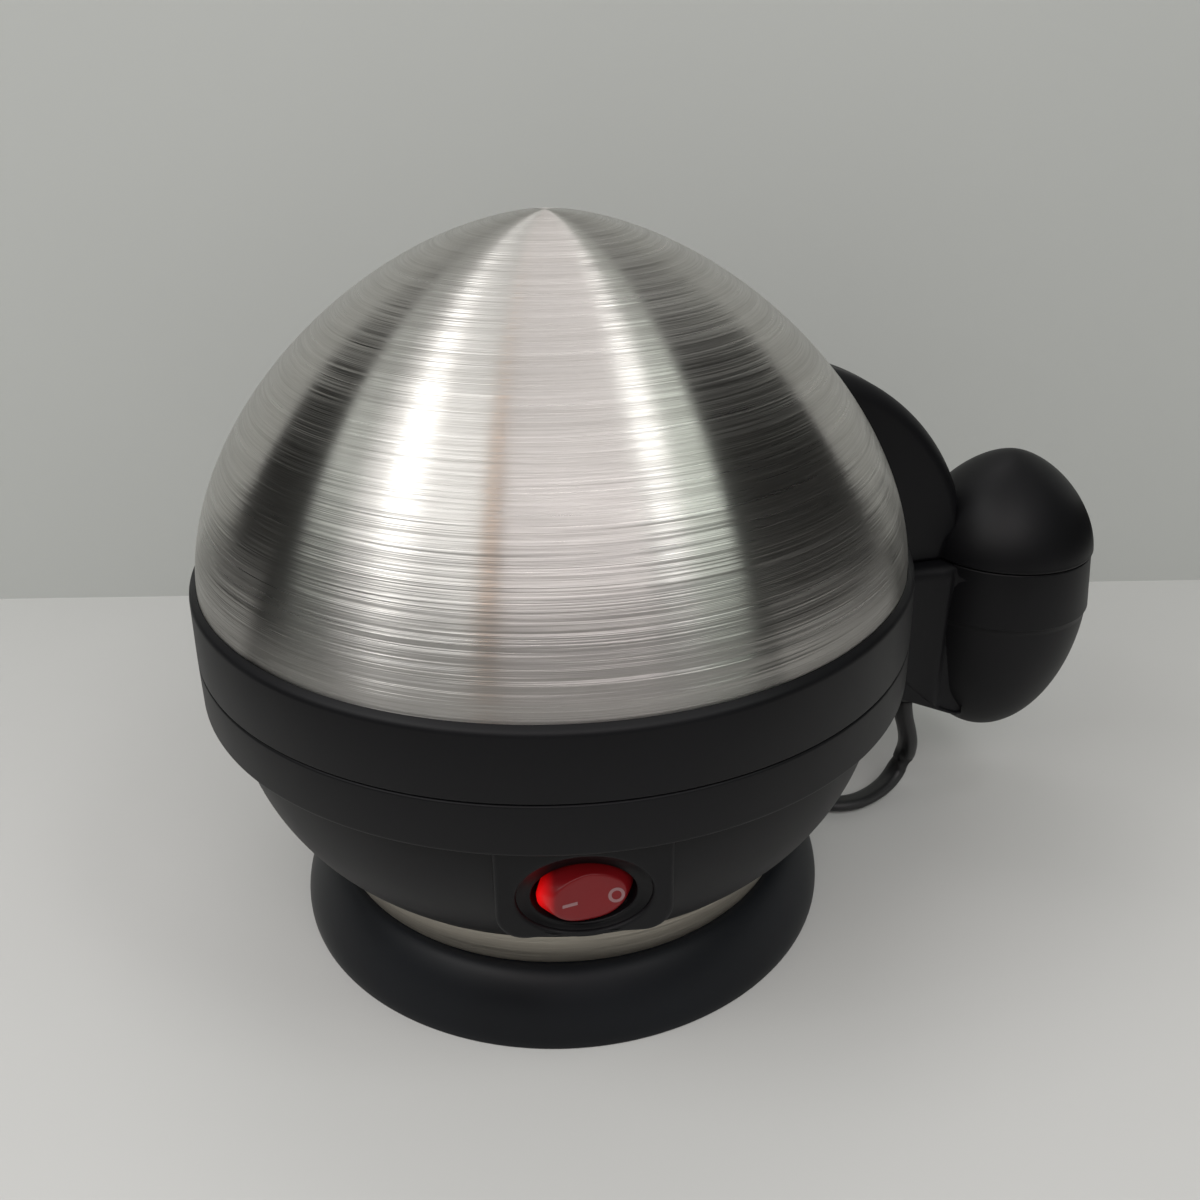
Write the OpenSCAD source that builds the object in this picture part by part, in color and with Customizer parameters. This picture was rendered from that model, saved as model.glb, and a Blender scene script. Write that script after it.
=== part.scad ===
// Electric egg cooker with a lift-off steel dome, an egg rack inside it and a split
// egg-shaped side handle. Millimetres, +Z up. The origin is the centre of the foot's
// underside, on the axis of the dome. The switch faces -Y, the handle points to +X.

/* [Foot and collar] */
// How far the foot spreads past the collar's lower edge
foot_spread = 10.8; // [9:0.1:12]
// Height of the foot, up to the seat of the steel collar
foot_h = 16.8; // [15:0.1:19]
// Height of the upright edge of the foot
foot_edge = 1.5; // [1:0.1:3]
// Wall of the foot moulding
foot_wall = 2.6; // [2:0.1:3.2]
// How much the radius of the steel collar grows towards its top
collar_flare = 3.6; // [2.4:0.1:4.8]
// Height of the steel collar
collar_h = 11.3; // [9:0.1:14]
// Thickness of the steel collar
collar_wall = 0.8; // [0.6:0.1:1.2]
// Thickness of the plate that closes the foot from below
plate_t = 2; // [1.5:0.1:3]

/* [Base bowl] */
// Outer radius of the band, from which the other radii of base, lid and rack follow
band_r = 89; // [80:0.1:98]
// Width of the step under the band, in to the bowl
step_w = 6.3; // [5:0.1:7]
// How much the radius of the bowl shrinks down to the collar
bowl_taper = 18.1; // [16:0.1:20]
// Height of the bowl between collar and band
bowl_h = 42.9; // [41:0.1:46]
// How far the bowl's side bulges out from a straight cone
bowl_bulge = 5.6; // [4:0.1:6.5]
// Wall of the bowl moulding
bowl_wall = 2.4; // [2:0.1:3]
// Height of the band on the base
band_h = 12; // [11:0.1:14]
// Wall of the band
band_wall = 2.6; // [2.2:0.1:3]
// Depth of the seat of the heating plate below the top of the base
seat_drop = 6.5; // [5.5:0.1:7.5]
// Width of the bowl's floor round its opening
floor_w = 28.6; // [26:0.1:34]

/* [Lid] */
// Height of the black rim of the lid
rim_h = 15.5; // [14:0.1:18]
// How much the rim narrows towards its top
rim_draft = 0.8; // [0.4:0.1:1.2]
// Height of the sloped lip where the rim meets the dome
rim_lip_h = 1.2; // [0.8:0.1:2]
// Width of the rim's top beside the dome, with the draft of the rim
rim_top_w = 2.7; // [2.2:0.1:3.2]
// Height of the dome above the rim
dome_h = 79; // [72:0.5:90]
// Thickness of the dome
dome_wall = 0.8; // [0.6:0.1:1.2]
// How round the shoulder of the dome is, a circle being 2
dome_round = 1.68; // [1.6:0.01:2]
// How deep the dome's edge is set into the rim
dome_set = 8.5; // [6:0.1:10]
// How deep the rim's lip reaches into the base
lip_drop = 3; // [2:0.1:3.5]

/* [Handle] */
// Angle that the handle sits back from square to the switch
handle_turn = 10; // [0:1:14]
// Distance of the egg's axis from the band
egg_out = 41; // [37:0.5:45]
// Radius of the egg at its split
egg_r = 24.6; // [23:0.1:26]
// How much wider the egg's plain band is at its lower edge
egg_swell = 1.2; // [0.6:0.1:2]
// Height of the egg above the split
egg_cap_h = 26.5; // [25:0.5:30]
// How round the cap of the egg is, a circle being 2
egg_cap_round = 1.65; // [1.6:0.05:2]
// Height of the plain band below the split
egg_band_h = 16; // [14:0.5:18]
// Depth of the egg below its plain band
egg_low_h = 43; // [38:0.5:44]
// How round the bottom of the egg is, a circle being 2
egg_low_round = 1.95; // [1.7:0.05:2.2]
// Step in under the egg's plain band
egg_step = 0.5; // [0.3:0.1:1.5]
// Wall of the egg, which is hollow
egg_wall = 2.6; // [2:0.1:3.2]
// Thickness of the arm on the lid
arm_w = 15; // [13:0.5:17]
// How far the arm's end reaches into the outline of the egg
arm_bite = 4.2; // [3:0.1:6]
// Height at which the arm's back turns down, above the split
arm_shoulder_h = 21.2; // [17:0.1:24]
// Height at which the arm's tip meets the dome, above the split
arm_tip_h = 56; // [53:0.5:60]
// How far the arm's back bulges from a straight line
arm_bulge = 5.6; // [4:0.1:6.5]
// Rounding of the edges of the arm's back
arm_round = 4.5; // [2:0.5:6]
// Thickness of the neck on the base
neck_w = 27; // [24:0.5:30]
// Width of the neck where it spreads on to the base
neck_root_w = 40; // [34:0.5:44]
// Wall of the neck, which is open from below
neck_wall = 2.2; // [2:0.1:3.2]
// Wall of the lip that centres the cap on the lower egg
key_wall = 2; // [1.6:0.1:2.6]
// Depth to which that lip reaches into the lower egg
key_h = 4; // [3:0.5:6]

/* [Switch] */
// Width of the flat panel round the switch
panel_w = 37; // [34:0.5:40]
// How far the panel's face lies in from the band
panel_in = 6; // [5:0.1:6.2]
// Height of the panel's lower edge above the collar
panel_low = 17.2; // [14:0.1:17.6]
// Radius of the panel's lower corners
panel_corner = 6; // [4:0.5:8]
// Height of the switch's centre above the collar
switch_up = 27.6; // [27:0.1:28.5]
// Depth of the oval recess
recess_d = 3.6; // [3:0.1:4]
// Width of the rocker
rocker_w = 22; // [20:0.1:22.4]
// Height of the rocker
rocker_h = 14.4; // [13:0.1:14.8]
// Travel of the rocker
rocker_travel = 20; // [16:1:22]
// Width of the dish between the rocker and the side of the recess
bezel_w = 3.2; // [2.8:0.1:3.6]
// Depth of the switch body behind the recess
switch_d = 14; // [12:0.5:16]

/* [Heater] */
// Width of the slope round the flat bottom of the water dish
dish_slope_w = 18; // [16:0.5:20]
// Depth of the water dish below its flange
dish_d = 13.3; // [11:0.1:14]
// Thickness of the dish
dish_t = 1.2; // [1:0.1:1.6]
// Thickness of the silicone gasket under the dish
gasket_t = 0.8; // [0.6:0.1:1.2]
// How far the aluminium heat spreader stays inside the dish's flat bottom
spreader_in = 15; // [13:0.5:17]
// Thickness of the heat spreader
spreader_t = 4; // [3.5:0.1:5]
// How far the ring of the heating element stays inside the spreader's edge
element_in = 11; // [10:0.5:12]
// Radius of the element's tube
element_tube_r = 3.2; // [3:0.1:3.4]
// Angle of the gap between the element's ends
element_gap = 40; // [30:5:50]
// How far the studs that clamp the element stand inside its ring
stud_in = 9; // [8:0.5:10]
// Radius of a stud
stud_r = 2; // [1.8:0.1:2.2]

/* [Egg rack] */
// Number of eggs round the one in the middle
egg_ring_count = 6; // [5:1:6]
// Radius of an egg hole
egg_hole_r = 17; // [16:0.5:18]
// How far the egg holes' centres lie inside the rack's edge
egg_ring_in = 29.4; // [27:0.1:31]
// Gap round the rack, inside the lid's lip
rack_gap = 1.4; // [1:0.1:2.4]
// Thickness of the rack
rack_t = 1.6; // [1.4:0.1:2.4]
// Height of the rack above its foot
rack_h = 8; // [6:0.5:12]
// Height of the collar round an egg hole
hole_collar_h = 2; // [1:0.5:4]
// Height of a finger loop
loop_h = 20; // [18:1:26]
// Width of a finger loop
loop_w = 26; // [22:1:30]

/* [Cord] */
// Width of the flat flex
flex_w = 6.2; // [5.4:0.1:6.4]
// Thickness of the flat flex
flex_t = 3.8; // [3:0.1:4]
// Mean radius of the coiled flex
coil_r = 34; // [32:1:36]
// Length of a plug pin
pin_l = 19; // [17:0.5:20]
// Distance between the plug pins
pin_spacing = 18.6; // [17.5:0.1:19]

/* [Hidden] */
$fn = 64;

// Clearances: between two bodies that part, between two pieces that touch, round a screw
part_gap = 0.3;
seat_gap = 0.05;
screw_gap = 0.3;
// How far a cutting shape overshoots the face that it cuts
over = 1;
// Steps along a curved profile
steps = 18;

// Heights, from the table up
collar_top_z = foot_h + collar_h;
step_z = collar_top_z + bowl_h;
seam_z = step_z + band_h;
lid_z = seam_z + part_gap;
rim_top_z = lid_z + rim_h;
dome_z = rim_top_z + rim_lip_h;
ledge_z = rim_top_z - dome_set;
seat_z = seam_z - seat_drop;

// Radii, from the band in, and down to the foot
bowl_top_r = band_r - step_w;
collar_top_r = bowl_top_r - bowl_taper;
collar_low_r = collar_top_r - collar_flare;
foot_r = collar_low_r + foot_spread;
floor_hole_r = collar_top_r - floor_w;
dome_r = band_r - rim_top_w;
band_in_r = band_r - rim_draft / 4 - band_wall;
lip_out_r = band_in_r - 2 * part_gap;
lip_in_r = lip_out_r - 1.8;
flange_r = band_in_r - part_gap;

// Foot: the floor of the bowl, its pillars and the screws that hold foot and bowl together
floor_t = 2.4;
foot_seat_gap = 0.9;
foot_top_r = collar_low_r + foot_seat_gap;
foot_seat_w = 17.9;
foot_in_r = foot_top_r - foot_seat_w;
rest_w = 3;
pillar_in = 10;
pillar_circle_r = collar_low_r - pillar_in;
pillar_r = 4.2;
pillar_count = 3;
pillar_start = 30;
screw_r = 1.8;
head_r = 3.6;
head_h = 2.2;
screw_bite = 8;
plate_z = 1.2;
plate_r = foot_r - rest_w - 0.4;
post_in = 9;
plate_circle_r = collar_low_r - post_in;
plate_start = 90;
vent_count = 8;
vent_w = 2.4;
vent_l = 16;
vent_r = 20;

// Switch: its place and its outlines, from the rocker out
panel_face = band_r - panel_in;
switch_z = collar_top_z + switch_up;
switch_w = rocker_w + 3.6;
switch_h = rocker_h + 3;
recess_w = rocker_w + 2 * bezel_w;
recess_h = rocker_h + 2 * bezel_w - 1.2;
switch_flange_t = 1.2;
switch_wall = 1.4;
recess_y = panel_face - recess_d;
panel_back = 2.4 - recess_y;
rocker_gap = 0.7;
rocker_axis_y = recess_y - 2.2;
rocker_bulge_d = 4.6;
rocker_body_d = 6;
trunnion_r = 1.2;
trunnion_l = 1.2;
tab_w = 4.8;
tab_t = 0.8;
tab_l = 8;

// Heating dish and what hangs under it, from the dish down
flange_z = seat_z + gasket_t;
dish_z = flange_z + dish_t - dish_d - dish_t;
dish_slope_r = bowl_top_r - bowl_wall - 1.3;
dish_r = dish_slope_r - dish_slope_w;
spreader_r = dish_r - spreader_in;
element_r = spreader_r - element_in;
stud_circle_r = element_r - stud_in;
spreader_z = dish_z - spreader_t;
groove_d = 1.6;
element_z = spreader_z - element_tube_r + groove_d;
bracket_t = 1.2;
thermostat_r = 8;
bracket_z = element_z - element_tube_r - seat_gap - bracket_t;
bracket_r = element_r + 6;
bracket_in_r = thermostat_r + 4;
terminal_drop = 12;
nut_r = 4;
nut_h = 3.2;
stud_count = 3;
thermostat_cap_h = 4;
thermostat_body_h = 7;
fuse_r = 2.2;
fuse_l = 16;
block_w = 22;
block_d = 14;
block_h = 11;
block_x = -8;
block_y = 16;
lead_r = 1.1;

// Handle
egg_reach = band_r + egg_out;
egg_wide_r = egg_r + egg_swell;
egg_near_x = egg_reach - egg_r;
arm_reach = egg_near_x + arm_bite;
key_r = egg_r - egg_wall - 2 * part_gap;
seam_lap = 0.6;
arm_screw_z = dome_z + 4;
arm_screw_apart = 7;
handle_screw_z = seam_z - 15;
handle_screw_apart = 16;
boot_root_r = 4.4;
boot_tip_r = 3.4;
boot_x = egg_near_x - boot_root_r - 0.4;
boot_y = neck_wall + boot_root_r + 0.1 - neck_w / 2;
boot_top_z = seam_z - 17;
boot_tip_z = seam_z - 43;
neck_low_z = seam_z - 49;
neck_out_x = egg_near_x + 8.6;
neck_root_low_z = step_z - 19;

// Rack
rack_z = flange_z + dish_t + part_gap;
rack_r = lip_in_r - rack_gap;
egg_ring_r = rack_r - egg_ring_in;
rack_rim_t = 1.8;
collar_t = 1.4;
loop_r = rack_r - 8.4;
loop_t = 2;
loop_bar = 4.5;

// Coil of the flex behind the foot, and where the flex meets its outer side
boot_at = [boot_x * cos(handle_turn) - boot_y * sin(handle_turn),
           boot_x * sin(handle_turn) + boot_y * cos(handle_turn)];
coil_w = 2 * flex_w + 0.6;
coil_h = 2 * flex_t;
coil_x = boot_at[0] - 95.3;
coil_y = foot_r + coil_r + coil_w / 2 + 3.7;
coil_side_x = coil_x + coil_r + (coil_w + flex_w) / 2 + 0.1;
table_z = flex_t / 2 + 0.2;

// Route of the flex: the drop from the boot, the bend to the table, the run to the coil
drop = [
    [0, 0, -0.1], [0, 0, -1.3], [0.5, 0.4, -3.9], [1.7, 1.5, -8], [3.6, 3.2, -13], [5.5, 5.6, -18.5],
    [6.7, 8.2, -23.5], [6.9, 10.2, -28], [5.9, 11, -32]
];
bend = [
    [3.3, 9.2, 2.8], [-0.5, 6.6, 0.9], [-5.3, 3.8, 0.1], [-10.1, 1.6, 0], [-14.7, 1, 0],
    [-19.1, 2, 0], [-22.5, 4.8, 0], [-24.9, 9, 0], [-26.1, 14.2, 0], [-26.7, 20.2, 0],
    [-27.3, 27.2, 0], [-29.3, 35.2, 0]
];
run = [
    [19.3, -61], [15.5, -52], [11.3, -43], [7.3, -34], [3.7, -25], [1.2, -16], [0.1, -8], [0, 0]
];
route = concat([for (p = drop) [boot_at[0] + p[0], boot_at[1] + p[1], boot_tip_z + p[2]]],
               [for (p = bend) [boot_at[0] + p[0], boot_at[1] + p[1], table_z + p[2]]],
               [for (p = run) [coil_side_x + p[0], coil_y + p[1], table_z]]);

// The flex's end lies on top of the coil and leaves it for the plug
top_z = coil_h + flex_t / 2 + 0.15;
tail_y = coil_y + coil_r;
tail = [
    for (p = [[9, 0, 0], [1, 0.3, 0], [-7, 1, 0], [-14, 1.8, 0], [-21, 2.5, -0.3], [-28, 3, -1.7],
              [-33, 3, -2.7], [-34.9, 3, -2.8]])
        [coil_x + p[0], tail_y + p[1], top_z + p[2]]
];
plug_x = coil_x - 35;
plug_y = tail_y + 3;
plug_l = 36;
plug_w = 35;
plug_h = 13.6;
pin_r = 2;
tie_w = 5;
tie_t = 1;
tie_gap = 0.2;

// Points on the arc from a to b that bulges to the right of the way there
function arc_between(a, b, bulge, n) =
    let (mid = (a + b) / 2,
         half = norm(b - a) / 2,
         radius = (half * half + bulge * bulge) / (2 * bulge),
         side = [b[1] - a[1], a[0] - b[0]] / (2 * half),
         centre = mid - side * (radius - bulge),
         turn = asin(half / radius),
         start = atan2(side[1], side[0]))
    [for (i = [0 : n]) centre + radius * [cos(start - turn + 2 * turn * i / n),
                                          sin(start - turn + 2 * turn * i / n)]];

// A quarter of an egg's outline, from its widest point out at radius r up to its tip at h
function egg_curve(r, h, round, n) =
    [for (i = [0 : n])
        let (t = sin(90 * i / n))
        [i == n ? 0 : r * pow(1 - pow(t, round), 1 / round), h * t]];

function moved(points, dx, dz) = [for (p = points) [p[0] + dx, p[1] + dz]];
function reversed(points) = [for (i = [len(points) - 1 : -1 : 0]) points[i]];

// Height of the neck's sloped underside at a distance from the dome's axis
function neck_under(x) = neck_root_low_z
    + (neck_low_z - neck_root_low_z) * (x - bowl_top_r) / (neck_out_x - bowl_top_r);

bowl_line = reversed(arc_between([bowl_top_r, step_z], [collar_top_r, collar_top_z],
                                 -bowl_bulge, steps));
bowl_in_line = reversed(arc_between([bowl_top_r - bowl_wall, step_z],
                                    [collar_top_r - bowl_wall, collar_top_z + floor_t],
                                    -bowl_bulge, steps));

module ring_copies(count, radius, start = 0) {
    for (i = [0 : count - 1])
        rotate([0, 0, start + 360 * i / count])
            translate([radius, 0, 0])
                children();
}

module at_handle() {
    rotate([0, 0, handle_turn])
        children();
}

// Extrudes a side view, given as distance and height, to a width across the handle
module side_view(points, width) {
    rotate([90, 0, 0])
        linear_extrude(width, center = true)
            polygon(points);
}

module oval(width, height, depth) {
    linear_extrude(depth)
        polygon([for (i = [0 : 47]) [width / 2 * cos(7.5 * i), height / 2 * sin(7.5 * i)]]);
}

// Turns children that stand on the XY plane so that they face -Y at a distance from the axis
module on_panel(y) {
    translate([0, -y, switch_z])
        rotate([90, 0, 0])
            children();
}

function heading(points, i) =
    let (d = points[min(i + 1, len(points) - 1)] - points[max(i - 1, 0)]) d / norm(d);

// Direction of the section's width at each point, carried along without a twist
function widths(points, start, i = 0) =
    i == len(points) ? [] :
    let (h = heading(points, i), w = start - h * (start * h), u = w / norm(w))
    concat([u], widths(points, u, i + 1));

// One tube with an oval section along a list of points
module flex(points, width, thickness, start, sides = 8) {
    count = len(points);
    across = widths(points, start);
    rings = [for (i = [0 : count - 1])
        let (up = cross(across[i], heading(points, i)))
        for (k = [0 : sides - 1])
            points[i] + across[i] * width / 2 * cos(360 * k / sides)
                      + up * thickness / 2 * sin(360 * k / sides)];
    walls = [for (i = [0 : count - 2]) for (k = [0 : sides - 1])
        let (n = (k + 1) % sides)
        [i * sides + k, i * sides + n, (i + 1) * sides + n, (i + 1) * sides + k]];
    first = [for (k = [sides - 1 : -1 : 0]) k];
    last = [for (k = [0 : sides - 1]) (count - 1) * sides + k];
    polyhedron(rings, concat(walls, [first, last]));
}

// A screw that stands on its head: the head from z = 0, the shank above it
module screw(length) {
    cylinder(r = head_r, h = head_h);
    translate([0, 0, head_h])
        cylinder(r = screw_r, h = length);
}

module foot_outline() {
    top = moved(egg_curve(foot_r - foot_top_r, foot_h - foot_edge, 1.5, steps),
                foot_top_r, foot_edge);
    inner = moved(egg_curve(foot_r - foot_top_r, foot_h - foot_edge - foot_wall, 1.5, steps),
                  foot_top_r - foot_wall, foot_edge);
    polygon(concat([[foot_r - rest_w, 0], [foot_r, 0]], top,
                   [[foot_in_r, foot_h], [foot_in_r, foot_h - foot_wall]],
                   reversed(inner), [[foot_r - rest_w, foot_edge]]));
}

module foot_base() {
    color("#23262b")
    difference() {
        union() {
            rotate_extrude($fn = 128)
                foot_outline();
            // Spigot that centres the collar
            translate([0, 0, foot_h - seat_gap])
                difference() {
                    cylinder(r = collar_low_r - collar_wall - seat_gap, h = 3);
                    translate([0, 0, -over])
                        cylinder(r = collar_low_r - collar_wall - 2.2, h = 3 + 2 * over);
                }
            // Pillars up to the floor of the bowl
            ring_copies(pillar_count, pillar_circle_r, pillar_start)
                translate([0, 0, foot_h - foot_wall])
                    cylinder(r = pillar_r, h = collar_h + foot_wall);
            // Posts down to the bottom plate
            ring_copies(pillar_count, plate_circle_r, plate_start)
                translate([0, 0, plate_z + plate_t])
                    cylinder(r = pillar_r, h = foot_h - plate_z - plate_t - foot_wall / 2);
        }
        ring_copies(pillar_count, pillar_circle_r, pillar_start)
            cylinder(r = screw_r + screw_gap, h = 2 * collar_top_z);
        ring_copies(pillar_count, plate_circle_r, plate_start)
            cylinder(r = screw_r + seat_gap, h = plate_z + plate_t + screw_bite + over);
    }
}

module bottom_plate() {
    color("#1b1c1e")
    difference() {
        translate([0, 0, plate_z])
            cylinder(r = plate_r, h = plate_t, $fn = 128);
        ring_copies(pillar_count, plate_circle_r, plate_start)
            cylinder(r = screw_r + screw_gap, h = 20);
        for (i = [0 : vent_count - 1])
            rotate([0, 0, 360 / vent_count * i])
                translate([vent_r, -vent_w / 2, 0])
                    cube([vent_l, vent_w, 20]);
    }
}

module plate_screws() {
    color("silver")
    ring_copies(pillar_count, plate_circle_r, plate_start)
        translate([0, 0, plate_z - seat_gap])
            difference() {
                union() {
                    translate([0, 0, -0.9])
                        cylinder(r = head_r, h = 0.9);
                    cylinder(r = screw_r, h = plate_t + screw_bite);
                }
                for (turn = [0, 90])
                    rotate([0, 0, turn])
                        translate([-2, -0.4, -over - 0.4])
                            cube([4, 0.8, over]);
            }
}

module collar_ring() {
    color("#b9b3a6")
    rotate_extrude($fn = 128)
        polygon([[collar_low_r - collar_wall, foot_h + seat_gap], [collar_low_r, foot_h + seat_gap],
                 [collar_top_r, collar_top_z - seat_gap],
                 [collar_top_r - collar_wall, collar_top_z - seat_gap]]);
}

module housing_outline() {
    polygon(concat(
        [[floor_hole_r, collar_top_z]], bowl_line,
        [[band_r, step_z], [band_r - rim_draft / 4, seam_z], [band_in_r, seam_z],
         [band_in_r, seat_z], [bowl_top_r - bowl_wall, seat_z]],
        reversed(bowl_in_line), [[floor_hole_r, collar_top_z + floor_t]]));
}

// Everything inside the outer surface of the base
module housing_body(grow = 0) {
    rotate_extrude($fn = 128)
        polygon(concat([[0, collar_top_z - grow]], moved(bowl_line, grow, 0),
                       [[band_r + grow, step_z - grow], [band_r + grow, seam_z + over],
                        [0, seam_z + over]]));
}

module panel_block() {
    corner_z = collar_top_z + panel_low + panel_corner;
    translate([0, -bowl_top_r + 20, 0])
        rotate([90, 0, 0])
            linear_extrude(panel_face - bowl_top_r + 20) {
                translate([-panel_w / 2, corner_z])
                    square([panel_w, step_z - corner_z]);
                translate([-panel_w / 2 + panel_corner, corner_z - panel_corner])
                    square([panel_w - 2 * panel_corner, panel_corner]);
                for (side = [-1, 1])
                    translate([side * (panel_w / 2 - panel_corner), corner_z])
                        circle(r = panel_corner);
            }
}

module bowl_housing() {
    color("#1d1e20")
    difference() {
        union() {
            rotate_extrude($fn = 128)
                housing_outline();
            // Panel round the switch, flat on its back as well
            difference() {
                panel_block();
                intersection() {
                    rotate_extrude($fn = 128)
                        polygon(concat([[0, collar_top_z]], moved(bowl_in_line, 0.4, 0),
                                       [[0, step_z + over]]));
                    translate([-panel_w, panel_back, 0])
                        cube([2 * panel_w, panel_w, seam_z]);
                }
            }
            // Bosses for the screws that come up from the foot
            ring_copies(pillar_count, pillar_circle_r, pillar_start)
                translate([0, 0, collar_top_z])
                    cylinder(r = pillar_r, h = screw_bite + floor_t);
        }
        ring_copies(pillar_count, pillar_circle_r, pillar_start)
            translate([0, 0, collar_top_z - over])
                cylinder(r = screw_r + seat_gap, h = screw_bite + over + 0.5);
        // Oval recess and the way through for the switch
        on_panel(recess_y)
            oval(recess_w, recess_h, recess_d + over);
        on_panel(recess_y - switch_d)
            oval(switch_w + 2 * seat_gap, switch_h + 2 * seat_gap, switch_d + over);
        // Screws and flex of the handle
        at_handle() {
            for (side = [-1, 1])
                translate([bowl_top_r - 10, side * handle_screw_apart / 2, handle_screw_z])
                    rotate([0, 90, 0])
                        cylinder(r = screw_r + screw_gap, h = 20);
            translate([bowl_top_r - 14, boot_y, boot_top_z - 7])
                rotate([0, 90, 0])
                    cylinder(r = 3.4, h = 22);
        }
    }
}

module base_screws() {
    color("silver")
    ring_copies(pillar_count, pillar_circle_r, pillar_start)
        translate([0, 0, foot_h - foot_wall - head_h - seat_gap])
            screw(foot_wall + collar_h + screw_bite);
}

module switch_body() {
    color("#151617")
    difference() {
        union() {
            on_panel(recess_y + seat_gap)
                oval(recess_w - 0.3, recess_h - 0.3, switch_flange_t);
            on_panel(recess_y - switch_d)
                oval(switch_w, switch_h, switch_d + seat_gap);
        }
        on_panel(recess_y - switch_d + switch_wall + 1)
            oval(rocker_w + 2 * rocker_gap, rocker_h + 2 * rocker_gap, switch_d + over + 2);
        on_panel(rocker_axis_y)
            rotate([90, 0, 0])
                cylinder(r = trunnion_r + 0.05, h = switch_h - 0.5, center = true);
    }
}

module switch_terminals() {
    color("#c8a448")
    for (side = [-1, 1])
        translate([side * 5 - tab_w / 2, -recess_y + switch_d + seat_gap, switch_z - tab_t / 2])
            cube([tab_w, tab_l, tab_t]);
}

module rocker() {
    color("#c8202a")
    translate([0, -rocker_axis_y, switch_z])
        rotate([0, 0, rocker_travel / 2])
            rotate([90, 0, 0]) {
                intersection() {
                    translate([0, 0, -rocker_body_d])
                        oval(rocker_w, rocker_h, rocker_body_d + 20);
                    // The two faces of the rocker meet in a shallow valley
                    rotate([90, 0, 0])
                        linear_extrude(rocker_h + 2, center = true)
                            polygon([[0.7 - rocker_w / 2, rocker_bulge_d],
                                     [0, rocker_bulge_d - 0.9],
                                     [rocker_w / 2 - 0.7, rocker_bulge_d],
                                     [rocker_w / 2 - 1.4, 0],
                                     [rocker_w / 2 - 4, -rocker_body_d + 0.4],
                                     [-rocker_w / 2 + 4, -rocker_body_d + 0.4],
                                     [-rocker_w / 2 + 1.4, 0]]);
                }
                rotate([90, 0, 0])
                    cylinder(r = trunnion_r, h = rocker_h + 2 * trunnion_l, center = true);
            }
}

module heating_plate() {
    color("#8f9194")
    rotate_extrude($fn = 128)
        polygon([[flange_r, flange_z + dish_t], [dish_slope_r - 0.6, flange_z + dish_t],
                 [dish_r - 0.8, dish_z + dish_t], [0, dish_z + dish_t], [0, dish_z],
                 [dish_r, dish_z], [dish_slope_r, flange_z], [flange_r, flange_z]]);
}

module plate_gasket() {
    color("#c9c9c4")
    difference() {
        translate([0, 0, seat_z])
            cylinder(r = flange_r, h = gasket_t, $fn = 128);
        cylinder(r = bowl_top_r - bowl_wall, h = seam_z, $fn = 128);
    }
}

module heat_spreader() {
    color("#a9adb0")
    difference() {
        translate([0, 0, spreader_z])
            cylinder(r = spreader_r, h = spreader_t, $fn = 96);
        rotate_extrude($fn = 96)
            translate([element_r, element_z])
                circle(r = element_tube_r + seat_gap, $fn = 32);
        ring_copies(stud_count, stud_circle_r)
            cylinder(r = stud_r + screw_gap, h = seam_z);
    }
}

module heating_element() {
    color("#6f6a66")
    rotate([0, 0, 90 + element_gap / 2]) {
        rotate_extrude(angle = 360 - element_gap, $fn = 96)
            translate([element_r, element_z])
                circle(r = element_tube_r, $fn = 32);
        for (end = [0, 360 - element_gap])
            rotate([0, 0, end])
                translate([element_r, 0, element_z - terminal_drop])
                    cylinder(r = element_tube_r + 0.4, h = terminal_drop + 1, $fn = 32);
    }
}

module element_bracket() {
    color("#9a9c9e")
    difference() {
        translate([0, 0, bracket_z])
            cylinder(r = bracket_r, h = bracket_t, $fn = 96);
        cylinder(r = bracket_in_r, h = seam_z);
        ring_copies(stud_count, stud_circle_r)
            cylinder(r = stud_r + screw_gap, h = seam_z);
        // Gap for the element's two ends
        rotate([0, 0, 90])
            translate([stud_circle_r + 2, -bracket_r / 2, 0])
                cube([bracket_r, bracket_r, seam_z]);
    }
}

module clamp_studs() {
    color("silver")
    ring_copies(stud_count, stud_circle_r)
        translate([0, 0, bracket_z - nut_h - 1.5])
            cylinder(r = stud_r, h = dish_z - bracket_z + nut_h + 1.5);
}

module clamp_nuts() {
    color("#d2d2cf")
    ring_copies(stud_count, stud_circle_r)
        translate([0, 0, bracket_z - nut_h - seat_gap])
            difference() {
                cylinder(r = nut_r, h = nut_h, $fn = 6);
                translate([0, 0, -over])
                    cylinder(r = stud_r + seat_gap, h = nut_h + 2 * over);
            }
}

module thermostat() {
    color("#34302c")
    translate([0, 0, spreader_z - seat_gap - thermostat_cap_h]) {
        cylinder(r = thermostat_r, h = thermostat_cap_h);
        translate([0, 0, -thermostat_body_h])
            cylinder(r = thermostat_r - 1, h = thermostat_body_h);
        for (side = [-1, 1])
            translate([side * 4 - tab_t / 2, -tab_w / 2, -thermostat_body_h - tab_l])
                cube([tab_t, tab_w, tab_l]);
    }
}

module thermal_fuse() {
    color("#e8e4da")
    translate([-bracket_r + 14, -fuse_l / 2, bracket_z - fuse_r - seat_gap])
        rotate([-90, 0, 0])
            cylinder(r = fuse_r, h = fuse_l);
}

module terminal_block() {
    color("#ece8dc")
    translate([floor_hole_r + 4, -block_w / 2, collar_top_z + floor_t])
        difference() {
            cube([block_d, block_w, block_h]);
            for (i = [-1, 1])
                translate([block_d / 2, block_w / 2 + i * 6, block_h - 5])
                    cylinder(r = 2, h = 6);
        }
}

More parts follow.
